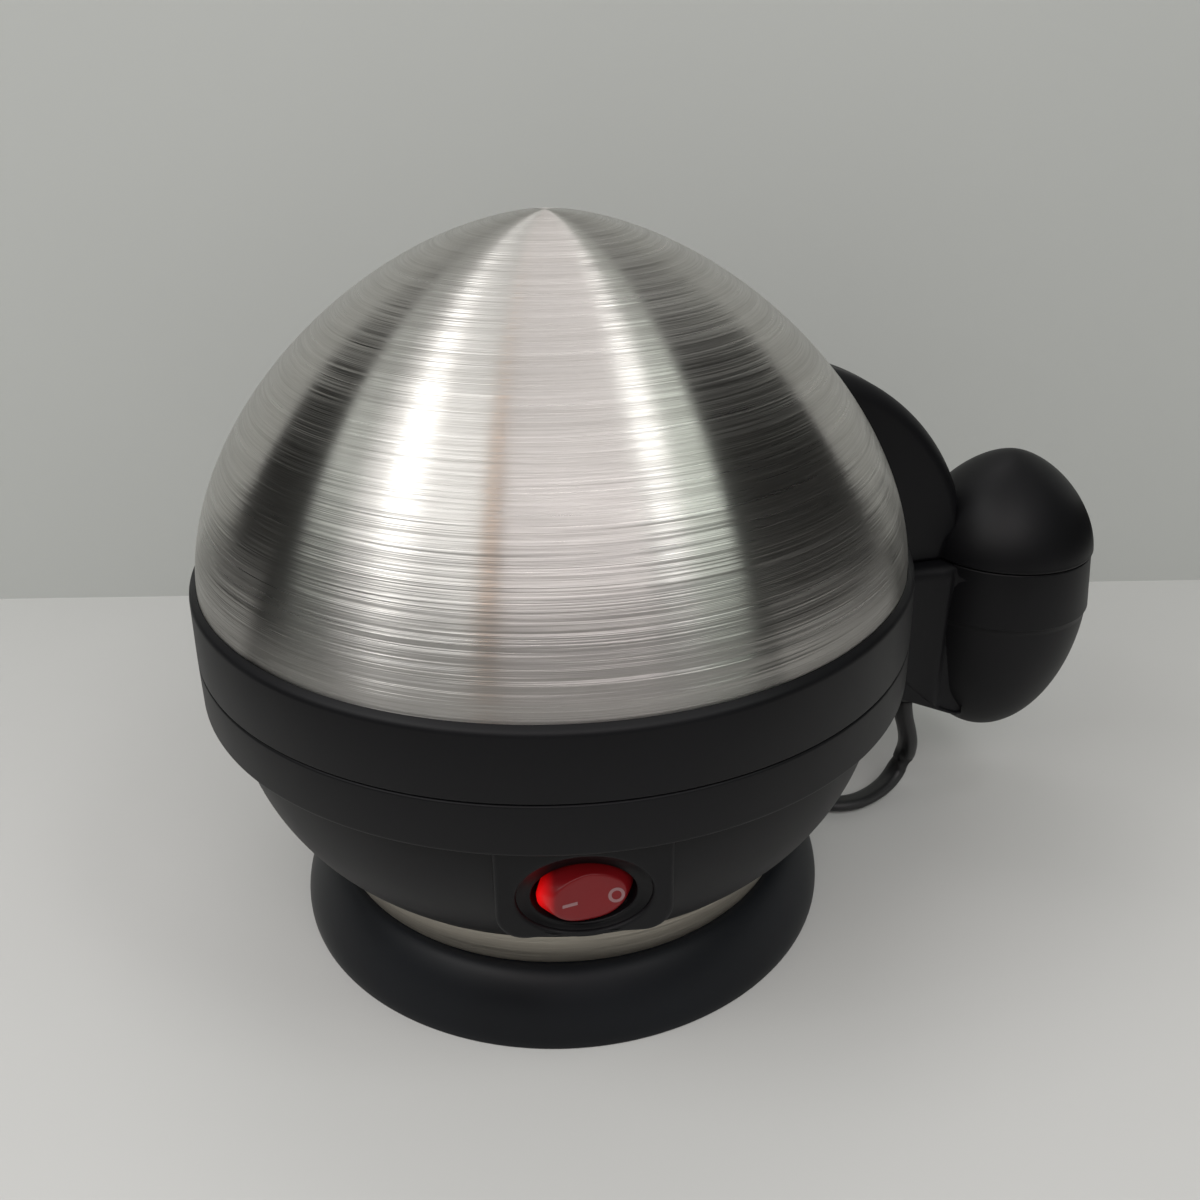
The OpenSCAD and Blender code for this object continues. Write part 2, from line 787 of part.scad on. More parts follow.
// Insulated leads between the flex, the block, the switch and the heater
module inner_leads() {
    start_z = collar_top_z + floor_t + block_h + 0.2;
    block_mid_x = floor_hole_r + 4 + block_d / 2;
    tab_end_y = -recess_y + switch_d + tab_l;
    end_x = element_r * sin(element_gap / 2);
    end_y = element_r * cos(element_gap / 2);
    end_z = element_z - terminal_drop - 0.3;
    lead_w = 2 * lead_r;
    color("#a02c28")
    for (side = [-1, 1]) {
        flex([[block_mid_x, side * 6, start_z], [block_mid_x, side * 6, start_z + 5],
              [block_mid_x - 3, side * 6, start_z + 8], [block_mid_x - 8, side * 6, start_z + 9]],
             lead_w, lead_w, [0, 1, 0]);
        flex([[side * 5, tab_end_y + 0.1, switch_z], [side * 5, tab_end_y + 5, switch_z],
              [side * 5, tab_end_y + 9, switch_z - 2], [side * 5, tab_end_y + 12, switch_z - 6]],
             lead_w, lead_w, [1, 0, 0]);
        flex([[side * end_x, end_y, end_z], [side * end_x, end_y - 0.5, end_z - 3],
              [side * end_x, end_y - 3, end_z - 6], [side * end_x, end_y - 8, end_z - 7]],
             lead_w, lead_w, [1, 0, 0]);
    }
}

// The egg below the split, as one turned outline
module egg_low_outline() {
    low = egg_curve(egg_wide_r - egg_step, egg_low_h, egg_low_round, steps);
    polygon(concat([[0, seam_z], [egg_r - 0.4, seam_z], [egg_wide_r, seam_z - egg_band_h]],
                   [for (p = low) [p[0], seam_z - egg_band_h - p[1]]]));
}

// The hollow inside it, under the floor of the socket
module egg_low_hollow() {
    low = egg_curve(egg_wide_r - egg_step - egg_wall, egg_low_h - egg_wall, egg_low_round, steps);
    polygon(concat([[0, seam_z - key_h - egg_wall], [key_r, seam_z - key_h - egg_wall]],
                   [for (p = low) [p[0], seam_z - egg_band_h - p[1]]]));
}

module neck_plan(grow = 0) {
    half = neck_w / 2 + grow;
    root = neck_root_w / 2 + grow;
    flare_x = egg_reach - egg_r + 2;
    side = arc_between([flare_x, half], [bowl_top_r - 6, root], -2.2, 8);
    polygon(concat([[egg_reach, half]], side, [[bowl_top_r - 20, root], [bowl_top_r - 20, -root]],
                   [for (p = reversed(side)) [p[0], -p[1]]], [[egg_reach, -half]]));
}

// The neck's side view, shrunk by a wall for its hollow
module neck_side(inset = 0, drop = 0) {
    side_view([[bowl_top_r - 20, seam_z - inset], [egg_reach, seam_z - inset],
               [egg_reach, neck_low_z - drop], [neck_out_x, neck_low_z - drop],
               [bowl_top_r - 20, neck_under(bowl_top_r - 20) - drop]], 3 * neck_root_w);
}

module handle_base() {
    color("#1b1c1e")
    at_handle()
        difference() {
            union() {
                translate([egg_reach, 0, 0])
                    rotate_extrude($fn = 96)
                        egg_low_outline();
                difference() {
                    intersection() {
                        neck_side();
                        linear_extrude(2 * seam_z)
                            neck_plan();
                    }
                    // Hollow of the neck, open from below
                    difference() {
                        intersection() {
                            neck_side(seam_z - boot_top_z, 20);
                            linear_extrude(2 * seam_z)
                                neck_plan(-neck_wall);
                        }
                        translate([egg_reach, 0, 0])
                            cylinder(r = egg_r, h = seam_z);
                    }
                }
            }
            translate([egg_reach, 0, 0])
                rotate_extrude($fn = 96)
                    egg_low_hollow();
            rotate([0, 0, -handle_turn])
                housing_body(seat_gap);
            // Socket that centres the cap
            translate([egg_reach, 0, seam_z - key_h])
                cylinder(r = key_r + part_gap, h = key_h + over, $fn = 96);
            for (side = [-1, 1])
                translate([bowl_top_r - 5, side * handle_screw_apart / 2, handle_screw_z])
                    rotate([0, 90, 0])
                        cylinder(r = screw_r + seat_gap, h = 17);
        }
}

module handle_screws() {
    wall_in = bowl_top_r - bowl_wall;
    color("silver")
    at_handle()
        for (side = [-1, 1])
            translate([wall_in - head_h - 1, side * handle_screw_apart / 2, handle_screw_z])
                rotate([0, 90, 0])
                    screw(bowl_wall + 10);
}

module cord_boot() {
    color("#141414")
    at_handle()
        translate([boot_x, boot_y, 0])
            difference() {
                union() {
                    translate([0, 0, boot_top_z - 7])
                        cylinder(r = boot_root_r, h = 7 - seat_gap);
                    translate([0, 0, boot_tip_z])
                        cylinder(r1 = boot_tip_r, r2 = boot_root_r - 0.3,
                                 h = boot_top_z - 7 - boot_tip_z);
                }
                for (i = [0 : 3])
                    translate([0, 0, boot_tip_z + 3 + 4 * i])
                        difference() {
                            cylinder(r = 9, h = 1.4);
                            cylinder(r = boot_tip_r - 0.5 + 0.1 * i, h = 1.4);
                        }
            }
}

module cord() {
    color("#111111")
    flex(route, flex_w, flex_t, [0.66, -0.75, 0]);
}

module cord_coil() {
    color("#111111")
    translate([coil_x, coil_y, 0])
        rotate_extrude()
            translate([coil_r - coil_w / 2, 0])
                square([coil_w, coil_h]);
}

module cord_tie() {
    color("#222222")
    translate([coil_x - coil_r, coil_y, 0])
        translate([-coil_w / 2 - tie_t, -tie_w / 2, 0])
            difference() {
                cube([coil_w + 2 * tie_t, tie_w, coil_h + tie_t]);
                translate([tie_t - tie_gap, -over, -over])
                    cube([coil_w + 2 * tie_gap, tie_w + 2 * over, coil_h + over + seat_gap]);
            }
}

module cord_tail() {
    color("#111111")
    flex(tail, flex_w, flex_t, [0, 1, 0]);
}

module plug_body() {
    color("#131313")
    translate([plug_x, plug_y, 0])
        rotate([0, 0, 180])
            difference() {
                linear_extrude(plug_h)
                    polygon([[0, 5], [9, 6.5], [19, plug_w / 2 - 3], [24, plug_w / 2],
                             [plug_l, plug_w / 2], [plug_l, -plug_w / 2], [24, -plug_w / 2],
                             [19, 3 - plug_w / 2], [9, -6.5], [0, -5]]);
                for (z = [-1.2, plug_h - 1.2])
                    translate([14, -6, z])
                        cube([8, 12, 2.4]);
            }
}

module plug_pins() {
    color("#c9b878")
    for (side = [-1, 1])
        translate([plug_x - plug_l - seat_gap, plug_y + side * pin_spacing / 2, plug_h / 2])
            rotate([0, -90, 0]) {
                cylinder(r = pin_r, h = pin_l - pin_r);
                translate([0, 0, pin_l - pin_r])
                    sphere(r = pin_r, $fn = 24);
            }
}

module lid_rim() {
    color("#1d1e20")
    rotate_extrude($fn = 128)
        polygon([[band_r - rim_draft / 4, lid_z], [band_r - rim_draft, rim_top_z - 0.5],
                 [band_r - rim_draft - 0.5, rim_top_z],
                 [dome_r + seat_gap, dome_z], [dome_r + seat_gap, ledge_z], [lip_in_r, ledge_z],
                 [lip_in_r, seam_z - lip_drop], [lip_out_r - 0.5, seam_z - lip_drop],
                 [lip_out_r, seam_z - lip_drop + 0.5], [lip_out_r, lid_z]]);
}

module dome_shell() {
    outer = moved(egg_curve(dome_r, dome_h, dome_round, 2 * steps), 0, dome_z);
    inner = moved(egg_curve(dome_r - dome_wall, dome_h - dome_wall, dome_round, 2 * steps),
                  0, dome_z);
    color("#c9c8c6")
    difference() {
        rotate_extrude($fn = 128)
            polygon(concat([[dome_r - dome_wall, ledge_z + seat_gap], [dome_r, ledge_z + seat_gap]],
                           outer, reversed(inner)));
        at_handle()
            for (side = [-1, 1])
                translate([dome_r - 10, side * arm_screw_apart / 2, arm_screw_z])
                    rotate([0, 90, 0])
                        cylinder(r = screw_r + screw_gap, h = 20);
    }
}

// Everything inside the outer surface of the dome and its rim
module lid_body(grow = 0) {
    rotate_extrude($fn = 128)
        polygon(concat(
            [[0, lid_z - over], [band_r - rim_draft / 4 + grow, lid_z - over],
             [band_r - rim_draft / 4 + grow, lid_z],
             [band_r - rim_draft + grow, rim_top_z + grow], [dome_r + 2 * grow, dome_z + grow]],
            moved(egg_curve(dome_r + grow, dome_h + grow, dome_round, 2 * steps), 0, dome_z)));
}

module egg_cap_outline(grow = 0) {
    polygon(concat([[0, lid_z - (grow > 0 ? over : 0)],
                    [egg_r + grow, lid_z - (grow > 0 ? over : 0)]],
                   moved(egg_curve(egg_r + grow, egg_cap_h + grow, egg_cap_round, steps),
                         0, lid_z)));
}

// A disc with rounded edges, whose rim is the back of the arm
module arm_disc(radius) {
    edge = radius - arm_round;
    half = arm_w / 2 - arm_round;
    corner = [for (i = [0 : 6]) [edge + arm_round * sin(15 * i), half + arm_round * cos(15 * i)]];
    rotate([90, 0, 0])
        rotate_extrude($fn = 160)
            polygon(concat([[0, -arm_w / 2], [0, arm_w / 2]], corner,
                           [for (p = reversed(corner)) [p[0], -p[1]]]));
}

module lid_arm() {
    tip_z = seam_z + arm_tip_h;
    tip_x = dome_r * pow(1 - pow((tip_z - dome_z) / dome_h, dome_round), 1 / dome_round);
    shoulder = [arm_reach, seam_z + arm_shoulder_h];
    tip = [tip_x, tip_z];
    chord = norm(shoulder - tip);
    radius = (chord * chord / 4 + arm_bulge * arm_bulge) / (2 * arm_bulge);
    back = [tip_z - shoulder[1], arm_reach - tip_x] / chord;
    centre = (tip + shoulder) / 2 - back * (radius - arm_bulge);
    color("#1b1c1e")
    at_handle()
        difference() {
            intersection() {
                side_view([[dome_r / 2, lid_z], [arm_reach, lid_z],
                           [arm_reach, tip_z + arm_w], [dome_r / 2, tip_z + arm_w]], arm_w);
                translate([centre[0], 0, centre[1]])
                    arm_disc(radius);
            }
            rotate([0, 0, -handle_turn])
                lid_body(seat_gap);
            translate([egg_reach, 0, 0])
                rotate_extrude($fn = 96)
                    egg_cap_outline(seat_gap);
            for (side = [-1, 1])
                translate([dome_r - 5, side * arm_screw_apart / 2, arm_screw_z])
                    rotate([0, 90, 0])
                        cylinder(r = screw_r + seat_gap, h = 17);
        }
}

module egg_cap() {
    color("#1b1c1e")
    at_handle()
        translate([egg_reach, 0, 0]) {
            rotate_extrude($fn = 96)
                difference() {
                    egg_cap_outline();
                    // Hollow, open from below
                    polygon(concat([[0, lid_z - over], [egg_r - egg_wall, lid_z - over]],
                                   moved(egg_curve(egg_r - egg_wall, egg_cap_h - egg_wall,
                                                   egg_cap_round, steps), 0, lid_z)));
                }
            // Lip that reaches into the lower egg
            rotate_extrude($fn = 96)
                polygon([[key_r - key_wall, seam_z - key_h + part_gap],
                         [key_r, seam_z - key_h + part_gap], [key_r, lid_z],
                         [egg_r - egg_wall + seam_lap, lid_z], [egg_r - egg_wall, lid_z + 3],
                         [key_r - key_wall, lid_z + 3]]);
        }
}

module arm_screws() {
    color("silver")
    at_handle()
        for (side = [-1, 1])
            translate([dome_r - dome_wall - head_h - 2, side * arm_screw_apart / 2, arm_screw_z])
                rotate([0, 90, 0])
                    screw(12.5);
}

module egg_places() {
    children();
    ring_copies(egg_ring_count, egg_ring_r, 30)
        children();
}

module egg_rack() {
    rack_top_z = rack_z + rack_h;
    color("#b6b8ba")
    difference() {
        union() {
            translate([0, 0, rack_top_z - rack_t])
                cylinder(r = rack_r, h = rack_t, $fn = 128);
            difference() {
                translate([0, 0, rack_z])
                    cylinder(r = rack_r, h = rack_h, $fn = 128);
                cylinder(r = rack_r - rack_rim_t, h = seam_z + 3 * rack_h, $fn = 128);
            }
            egg_places()
                translate([0, 0, rack_top_z - rack_t])
                    cylinder(r = egg_hole_r + collar_t, h = rack_t + hole_collar_h);
            for (side = [0, 180])
                rotate([0, 0, side])
                    translate([loop_r, -loop_w / 2, rack_top_z - rack_t])
                        difference() {
                            cube([loop_t, loop_w, loop_h + rack_t]);
                            translate([-over, loop_bar, rack_t])
                                cube([loop_t + 2 * over, loop_w - 2 * loop_bar,
                                      loop_h - loop_bar]);
                        }
        }
        egg_places()
            cylinder(r = egg_hole_r, h = 2 * seam_z);
    }
}

foot_base();
bottom_plate();
plate_screws();
collar_ring();
bowl_housing();
base_screws();
switch_body();
switch_terminals();
rocker();
heating_plate();
plate_gasket();
heat_spreader();
heating_element();
element_bracket();
clamp_studs();
clamp_nuts();
thermostat();
thermal_fuse();
terminal_block();
inner_leads();
handle_base();
handle_screws();
cord_boot();
cord();
cord_coil();
cord_tie();
cord_tail();
plug_body();
plug_pins();
lid_rim();
dome_shell();
lid_arm();
egg_cap();
arm_screws();
egg_rack();
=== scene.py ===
"""Looks of an electric egg cooker: spun steel dome, satin black mouldings, red rocker.

Every size is in millimetres until make_mesh turns it to metres. The frame is the CAD's:
origin under the foot on the dome's axis, +Z up, the switch facing -Y, the handle towards +X.
"""
import math

import bmesh
import bpy
import numpy as np
from mathutils import Matrix


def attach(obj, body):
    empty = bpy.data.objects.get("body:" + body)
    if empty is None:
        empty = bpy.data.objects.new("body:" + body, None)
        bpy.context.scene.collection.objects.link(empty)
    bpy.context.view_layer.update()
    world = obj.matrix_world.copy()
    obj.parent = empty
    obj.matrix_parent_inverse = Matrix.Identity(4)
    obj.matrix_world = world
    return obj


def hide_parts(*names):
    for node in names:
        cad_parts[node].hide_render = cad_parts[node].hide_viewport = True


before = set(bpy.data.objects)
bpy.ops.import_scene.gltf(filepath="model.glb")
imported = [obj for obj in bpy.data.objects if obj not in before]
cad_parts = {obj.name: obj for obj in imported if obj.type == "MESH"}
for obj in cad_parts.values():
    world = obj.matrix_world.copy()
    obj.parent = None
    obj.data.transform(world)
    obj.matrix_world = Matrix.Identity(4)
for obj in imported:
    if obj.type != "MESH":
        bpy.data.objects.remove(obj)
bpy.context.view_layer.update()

MM = 0.001
CLEAR = 0.05  # between pieces that touch, in millimetres
scene = bpy.context.scene

# ------------------------------ sizes, in millimetres

FOOT_R, FOOT_H, FOOT_EDGE, FOOT_WALL = 71.8, 16.8, 1.5, 2.6
FOOT_TOP_R, FOOT_IN_R, FOOT_ROUND, REST_W = 61.9, 44.0, 1.5, 3.0
COLLAR_LOW_R, COLLAR_TOP_R, COLLAR_WALL, COLLAR_TOP_Z = 61.0, 64.6, 0.8, 28.1
BOWL_TOP_R, BOWL_WALL, BOWL_BULGE, STEP_Z = 82.7, 2.4, 5.6, 71.0
BAND_R, BAND_WALL, SEAM_Z, SEAT_Z, FLOOR_T, FLOOR_HOLE_R = 89.0, 2.6, 83.0, 76.5, 2.4, 36.0
RIM_DRAFT, LID_Z, RIM_TOP_Z, DOME_Z, LEDGE_Z = 0.8, 83.3, 98.8, 100.0, 90.3
BAND_TOP_R = BAND_R - RIM_DRAFT / 4
LIP_GAP, LIP_T, LIP_H = 0.6, 1.8, 3.0
DOME_R, DOME_H, DOME_WALL, DOME_ROUND = 86.3, 79.0, 0.8, 1.68
HANDLE_TURN = math.radians(10)
EGG_X, EGG_R, EGG_WIDE_R, EGG_BAND_Z = 130.0, 24.6, 25.8, 67.0
EGG_CAP_H, EGG_CAP_ROUND, EGG_LOW_H, EGG_LOW_ROUND = 26.5, 1.65, 43.0, 1.95
EGG_STEP, EGG_WALL, KEY_R, KEY_WALL, KEY_H = 0.5, 2.6, 21.4, 2.0, 4.0
ARM_W, ARM_X, ARM_ROUND, ARM_BULGE = 15.0, 109.6, 4.5, 5.6
ARM_TIP_Z, ARM_SHOULDER_Z = 139.0, 104.2
NECK_W, NECK_ROOT_W, NECK_WALL, NECK_STEP, NECK_ROUND = 27.0, 40.0, 0.9, 1.2, 3.5
NECK_START_X, NECK_ROOT_Z, NECK_FLARE_Z, NECK_LOW_Z = 97.0, 42.4, 48.5, 34.0
NECK_HOLLOW, NECK_BLEND = 2.4, 12.0
BOOT_X, BOOT_Y, BOOT_LOW_R, BOOT_R = 100.6, -6.8, 3.4, 4.4
BOOT_LOW_Z, BOOT_GRIP_Z, BOOT_TOP_Z = 40.0, 59.0, 66.0
RIB_LOW_Z, RIB_TOP_Z, RIB_PITCH, RIB_SLOT, RIB_DEPTH = 43.0, 58.0, 4.0, 1.5, 0.55
PANEL_Y, PANEL_W, PANEL_LOW_Z, PANEL_CORNER = 83.0, 37.0, 45.3, 6.0
PANEL_LIP, PANEL_EDGE = 0.9, 1.0
SWITCH_Z, RECESS_W, RECESS_H, RECESS_Y = 55.7, 28.4, 19.6, 79.4
ROCKER_W, ROCKER_H, ROCKER_Y, ROCKER_TILT = 20.8, 12.6, 77.2, math.radians(10)
ROCKER_DOWN, ROCKER_OUT, FACE_W, FACE_H, FACE_Y = 1.2, 1.2, 15.8, 11.8, 3.75
ROCKER_GAP, SWITCH_D, WELL_FLOOR, BEZEL_LEAN = 0.7, 14.0, 2.4, 0.9
SIGN_LIFT, RING_LOW_R, RING_R, BAR_W, BAR_H = 0.04, 1.05, 1.75, 3.3, 0.84
OFF_X, OFF_Z, ON_X, ON_Z = 5.8, -0.2, -4.1, -0.7
# Where the rocker's painted glow is full and where it fades out
PAINTED_GLOW_FULL_X, PAINTED_GLOW_END_X = -9.8, -5.5  # along the rocker from its middle
FLEX_W, FLEX_T, LEVEL_FROM_Z, TABLE_Z = 6.2, 3.8, 16, 2.1
# Two points of the wall's foot, and its size
WALL_LEFT, WALL_RIGHT, WALL_HALF_W, WALL_H = (-225.6, 191.3), (282.5, 151.4), 420, 420
FLOOR_HALF_W = 1500

# ------------------------------ camera, first of all

CAMERA_AT = (-13.05, -266.8, 216.5)
CAMERA_YAW, CAMERA_PITCH, CAMERA_ROLL = map(math.radians, (5.21, 26.723, -0.588))
SENSOR_W, LENS = 36, 34.65


def add_camera():
    """A camera that looks along its yaw and pitch, then rolls about its own line of sight."""
    level = math.cos(CAMERA_PITCH)
    forward = np.array([math.sin(CAMERA_YAW) * level, math.cos(CAMERA_YAW) * level,
                        -math.sin(CAMERA_PITCH)])
    right = np.array([math.cos(CAMERA_YAW), -math.sin(CAMERA_YAW), 0.0])
    up = np.cross(right, forward)
    c, s = math.cos(CAMERA_ROLL), math.sin(CAMERA_ROLL)
    side, top = c * right + s * up, -s * right + c * up
    data = bpy.data.cameras.new("camera")
    data.sensor_width = SENSOR_W
    data.lens = LENS
    data.clip_start = 0.01
    camera = bpy.data.objects.new("camera", data)
    rows = [[side[i], top[i], -forward[i], CAMERA_AT[i] * MM] for i in range(3)]
    camera.matrix_world = Matrix(rows + [[0, 0, 0, 1]])
    scene.collection.objects.link(camera)
    scene.camera = camera


add_camera()

# ------------------------------ colours and materials


def linear(code):
    """The linear colour of an sRGB hex code such as "#c8c4bc"."""
    values = [int(code[i:i + 2], 16) / 255 for i in (1, 3, 5)]
    return [v / 12.92 if v <= 0.04045 else ((v + 0.055) / 1.055) ** 2.4 for v in values] + [1.0]


def node(tree, kind, settings=None, **links):
    """Adds a node. settings are its properties; links are its inputs, by name or by _number,
    each a value or another node's output socket."""
    made = tree.nodes.new("ShaderNode" + kind)
    for key, value in (settings or {}).items():
        setattr(made, key, value)
    for key, value in links.items():
        socket = made.inputs[int(key[1:])] if key[0] == "_" else made.inputs[key.replace("_", " ")]
        if isinstance(value, bpy.types.NodeSocket):
            tree.links.new(value, socket)
        else:
            socket.default_value = value
    return made


def ramp(tree, factor, stops):
    """The colour of a ramp with stops of (position, hex code)."""
    made = node(tree, "ValToRGB", Fac=factor)
    band = made.color_ramp
    while len(band.elements) < len(stops):
        band.elements.new(0.5)
    for element, (place, code) in zip(band.elements, stops):
        element.position = place
        element.color = linear(code)
    return made.outputs["Color"]


def new_material(name):
    """An empty material and its tree, shader node and object coordinates."""
    material = bpy.data.materials.new(name)
    material.use_nodes = True
    tree = material.node_tree
    shader = tree.nodes["Principled BSDF"]
    place = tree.nodes.new("ShaderNodeTexCoord").outputs["Object"]
    return material, tree, shader, place


def connect(tree, value, socket):
    """Links a node's output to an input."""
    tree.links.new(value, socket)


def moulded_abs(name, low, high, roughness, grain=0.3, spread=0.06):
    """Injection-moulded ABS with a fine spark-eroded grain: satin, its colour near even, with
    slow drifts of gloss where hands have wiped it. grain is the grain's size in millimetres."""
    material, tree, shader, place = new_material(name)
    drift = node(tree, "TexNoise", Vector=place, Scale=18.0, Detail=3.0, Roughness=0.55)
    drift = drift.outputs["Fac"]
    connect(tree, ramp(tree, drift, [(0.32, low), (0.7, high)]), shader.inputs["Base Color"])
    gloss = node(tree, "MapRange", Value=drift, _1=0.3, _2=0.7,
                 _3=roughness - spread, _4=roughness + spread)
    connect(tree, gloss.outputs["Result"], shader.inputs["Roughness"])
    fine = node(tree, "TexNoise", Vector=place, Scale=250.0 / grain, Detail=2.0).outputs["Fac"]
    bump = node(tree, "Bump", Strength=0.12, Distance=0.06 * MM, Height=fine)
    connect(tree, bump.outputs["Normal"], shader.inputs["Normal"])
    shader.inputs["IOR"].default_value = 1.5
    shader.inputs["Specular IOR Level"].default_value = 0.22
    return material


def spun_steel(name, low, high, roughness, anisotropy, scratch=0.45, contrast=0.6, lean_by=0.5):
    """Stainless steel spun on a lathe and brushed in circles: fine scratches run round the axis,
    so highlights draw out into fans that meet at the pole. scratch is their width in millimetres,
    wider than the real 0.1 mm so that they show; contrast is how much their gloss differs, and
    lean_by how far they tilt the surface."""
    material, tree, shader, place = new_material(name)
    parts = node(tree, "SeparateXYZ", Vector=place).outputs
    flat = node(tree, "CombineXYZ", X=parts["X"], Y=parts["Y"]).outputs["Vector"]
    radius = node(tree, "VectorMath", {"operation": "LENGTH"}, _0=flat).outputs["Value"]
    along = node(tree, "Math", {"operation": "SUBTRACT"}, _0=radius, _1=parts["Z"]).outputs["Value"]
    rings = node(tree, "CombineXYZ", X=parts["X"], Y=parts["Y"], Z=along).outputs["Vector"]

    def lines(across, round_axis, detail):
        """Noise that changes quickly across the rings and slowly along them."""
        scaled = node(tree, "VectorMath", {"operation": "MULTIPLY"}, _0=rings,
                      _1=(round_axis, round_axis, across)).outputs["Vector"]
        noise = node(tree, "TexNoise", Vector=scaled, Scale=1.0, Detail=detail, Roughness=0.6)
        return noise.outputs["Fac"]

    fine = lines(1000 / scratch, 24.0, 3.0)
    broad = lines(260.0, 9.0, 4.0)
    both = node(tree, "Math", {"operation": "MULTIPLY_ADD"}, _0=broad, _1=0.6, _2=fine)
    both = both.outputs["Value"]
    share = node(tree, "MapRange", Value=both, _1=0.5, _2=1.1, _3=0.0, _4=1.0).outputs["Result"]
    connect(tree, ramp(tree, share, [(0.0, low), (1.0, high)]), shader.inputs["Base Color"])
    rough = node(tree, "MapRange", Value=both, _1=0.5, _2=1.1,
                 _3=roughness + 0.09 * contrast, _4=roughness - 0.07 * contrast)
    connect(tree, rough.outputs["Result"], shader.inputs["Roughness"])

    def vector(operation, *values):
        """The vector that a vector node gives for its inputs in order."""
        return node(tree, "VectorMath", {"operation": operation},
                    **{f"_{i}": value for i, value in enumerate(values)}).outputs["Vector"]

    tangent = vector("NORMALIZE", vector("CROSS_PRODUCT", (0.0, 0.0, 1.0), flat))
    connect(tree, tangent, shader.inputs["Tangent"])
    # Each scratch leans the surface up or down the meridian, never along itself
    normal = node(tree, "NewGeometry").outputs["Normal"]
    meridian = vector("CROSS_PRODUCT", tangent, normal)
    lean = node(tree, "MapRange", Value=lines(2600 / scratch, 16.0, 2.0), _1=0.0, _2=1.0,
                _3=-lean_by, _4=lean_by).outputs["Result"]
    leant = vector("NORMALIZE", vector("MULTIPLY_ADD", meridian, lean, normal))
    connect(tree, leant, shader.inputs["Normal"])
    shader.inputs["Metallic"].default_value = 1.0
    shader.inputs["Anisotropic"].default_value = anisotropy
    # The scratches spread light across themselves, so along the meridians
    shader.inputs["Anisotropic Rotation"].default_value = 0.25
    return material


def plain_metal(name, low, high, roughness, mottle=60.0):
    """Metal as it comes from the press or the plating bath: an even sheen with faint mottling."""
    material, tree, shader, place = new_material(name)
    drift = node(tree, "TexNoise", Vector=place, Scale=mottle, Detail=4.0, Roughness=0.6)
    drift = drift.outputs["Fac"]
    connect(tree, ramp(tree, drift, [(0.3, low), (0.7, high)]), shader.inputs["Base Color"])
    rough = node(tree, "MapRange", Value=drift, _1=0.3, _2=0.7,
                 _3=roughness - 0.05, _4=roughness + 0.07)
    connect(tree, rough.outputs["Result"], shader.inputs["Roughness"])
    shader.inputs["Metallic"].default_value = 1.0
    return material


def smooth_moulding(name, low, high, roughness, ior=1.5):
    """Smooth moulded or fired material with a faint cloudiness in its colour."""
    material, tree, shader, place = new_material(name)
    drift = node(tree, "TexNoise", Vector=place, Scale=40.0, Detail=2.0).outputs["Fac"]
    connect(tree, ramp(tree, drift, [(0.35, low), (0.65, high)]), shader.inputs["Base Color"])
    rough = node(tree, "MapRange", Value=drift, _1=0.3, _2=0.7,
                 _3=roughness * 0.85, _4=roughness * 1.15)
    connect(tree, rough.outputs["Result"], shader.inputs["Roughness"])
    shader.inputs["IOR"].default_value = ior
    return material


def red_polycarbonate_painted_glow(name):
    """Red translucent polycarbonate, deep red. Towards its raised end, where light catches it, the
    red is painted lighter and a painted glow is added; no lamp lights it."""
    material, tree, shader, place = new_material(name)
    x = node(tree, "SeparateXYZ", Vector=place).outputs["X"]
    along = node(tree, "MapRange", Value=x, _1=PAINTED_GLOW_FULL_X * MM, _2=PAINTED_GLOW_END_X * MM,
                 _3=1.0, _4=0.0).outputs["Result"]
    cloud = node(tree, "TexNoise", Vector=place, Scale=160.0, Detail=2.0).outputs["Fac"]
    painted_glow_and_cloud = node(tree, "Math", {"operation": "MULTIPLY_ADD"}, _0=cloud, _1=0.25, _2=along)
    painted_glow_and_cloud = painted_glow_and_cloud.outputs["Value"]
    # Painted light: the red lightens and an emission glow is painted towards the raised end; the
    # cloud noise is the plastic's own unevenness
    colour = ramp(tree, painted_glow_and_cloud, [(0.05, "#681015"), (0.3, "#6e1014"), (1.0, "#c41318")])
    connect(tree, colour, shader.inputs["Base Color"])
    painted_glow_colour = ramp(tree, painted_glow_and_cloud, [(0.1, "#90090d"), (1.0, "#ff0a06")])
    connect(tree, painted_glow_colour, shader.inputs["Emission Color"])
    painted_glow_strength = node(tree, "MapRange", Value=along, _1=0.1, _2=1.0, _3=0.04, _4=0.45).outputs["Result"]
    connect(tree, painted_glow_strength, shader.inputs["Emission Strength"])
    shader.inputs["Roughness"].default_value = 0.3
    shader.inputs["IOR"].default_value = 1.58
    shader.inputs["Specular IOR Level"].default_value = 0.25
    return material


black_abs = moulded_abs("black ABS, moulded satin", "#09090b", "#0e0e11", 0.5)
# The foot is the same black ABS as the other mouldings; the blue tint in its colour is a painted
# sheen
foot_abs_painted_sheen = moulded_abs("black ABS, painted blue sheen, moulded satin", "#090b0f", "#0e1116", 0.42)
bezel_abs = moulded_abs("black ABS, moulded gloss", "#08080a", "#0c0c0e", 0.42,
                        grain=0.5, spread=0.03)
dome_steel = spun_steel("stainless steel, spun and brushed", "#b2afaa", "#cecbc7", 0.3, 1.0,
                        lean_by=1.0)
collar_steel = spun_steel("stainless steel, satin ring", "#b3aca0", "#cbc5b9", 0.36, 0.5,
                          scratch=0.3)
dish_steel = spun_steel("stainless steel, pressed dish", "#a5a5a3", "#bdbdbb", 0.30, 0.4,
                        scratch=0.3)
rack_aluminium = plain_metal("aluminium, satin anodised", "#c4c6c8", "#d3d5d6", 0.34)
cast_aluminium = plain_metal("aluminium, die cast", "#a9abad", "#bfc1c2", 0.5, mottle=220.0)
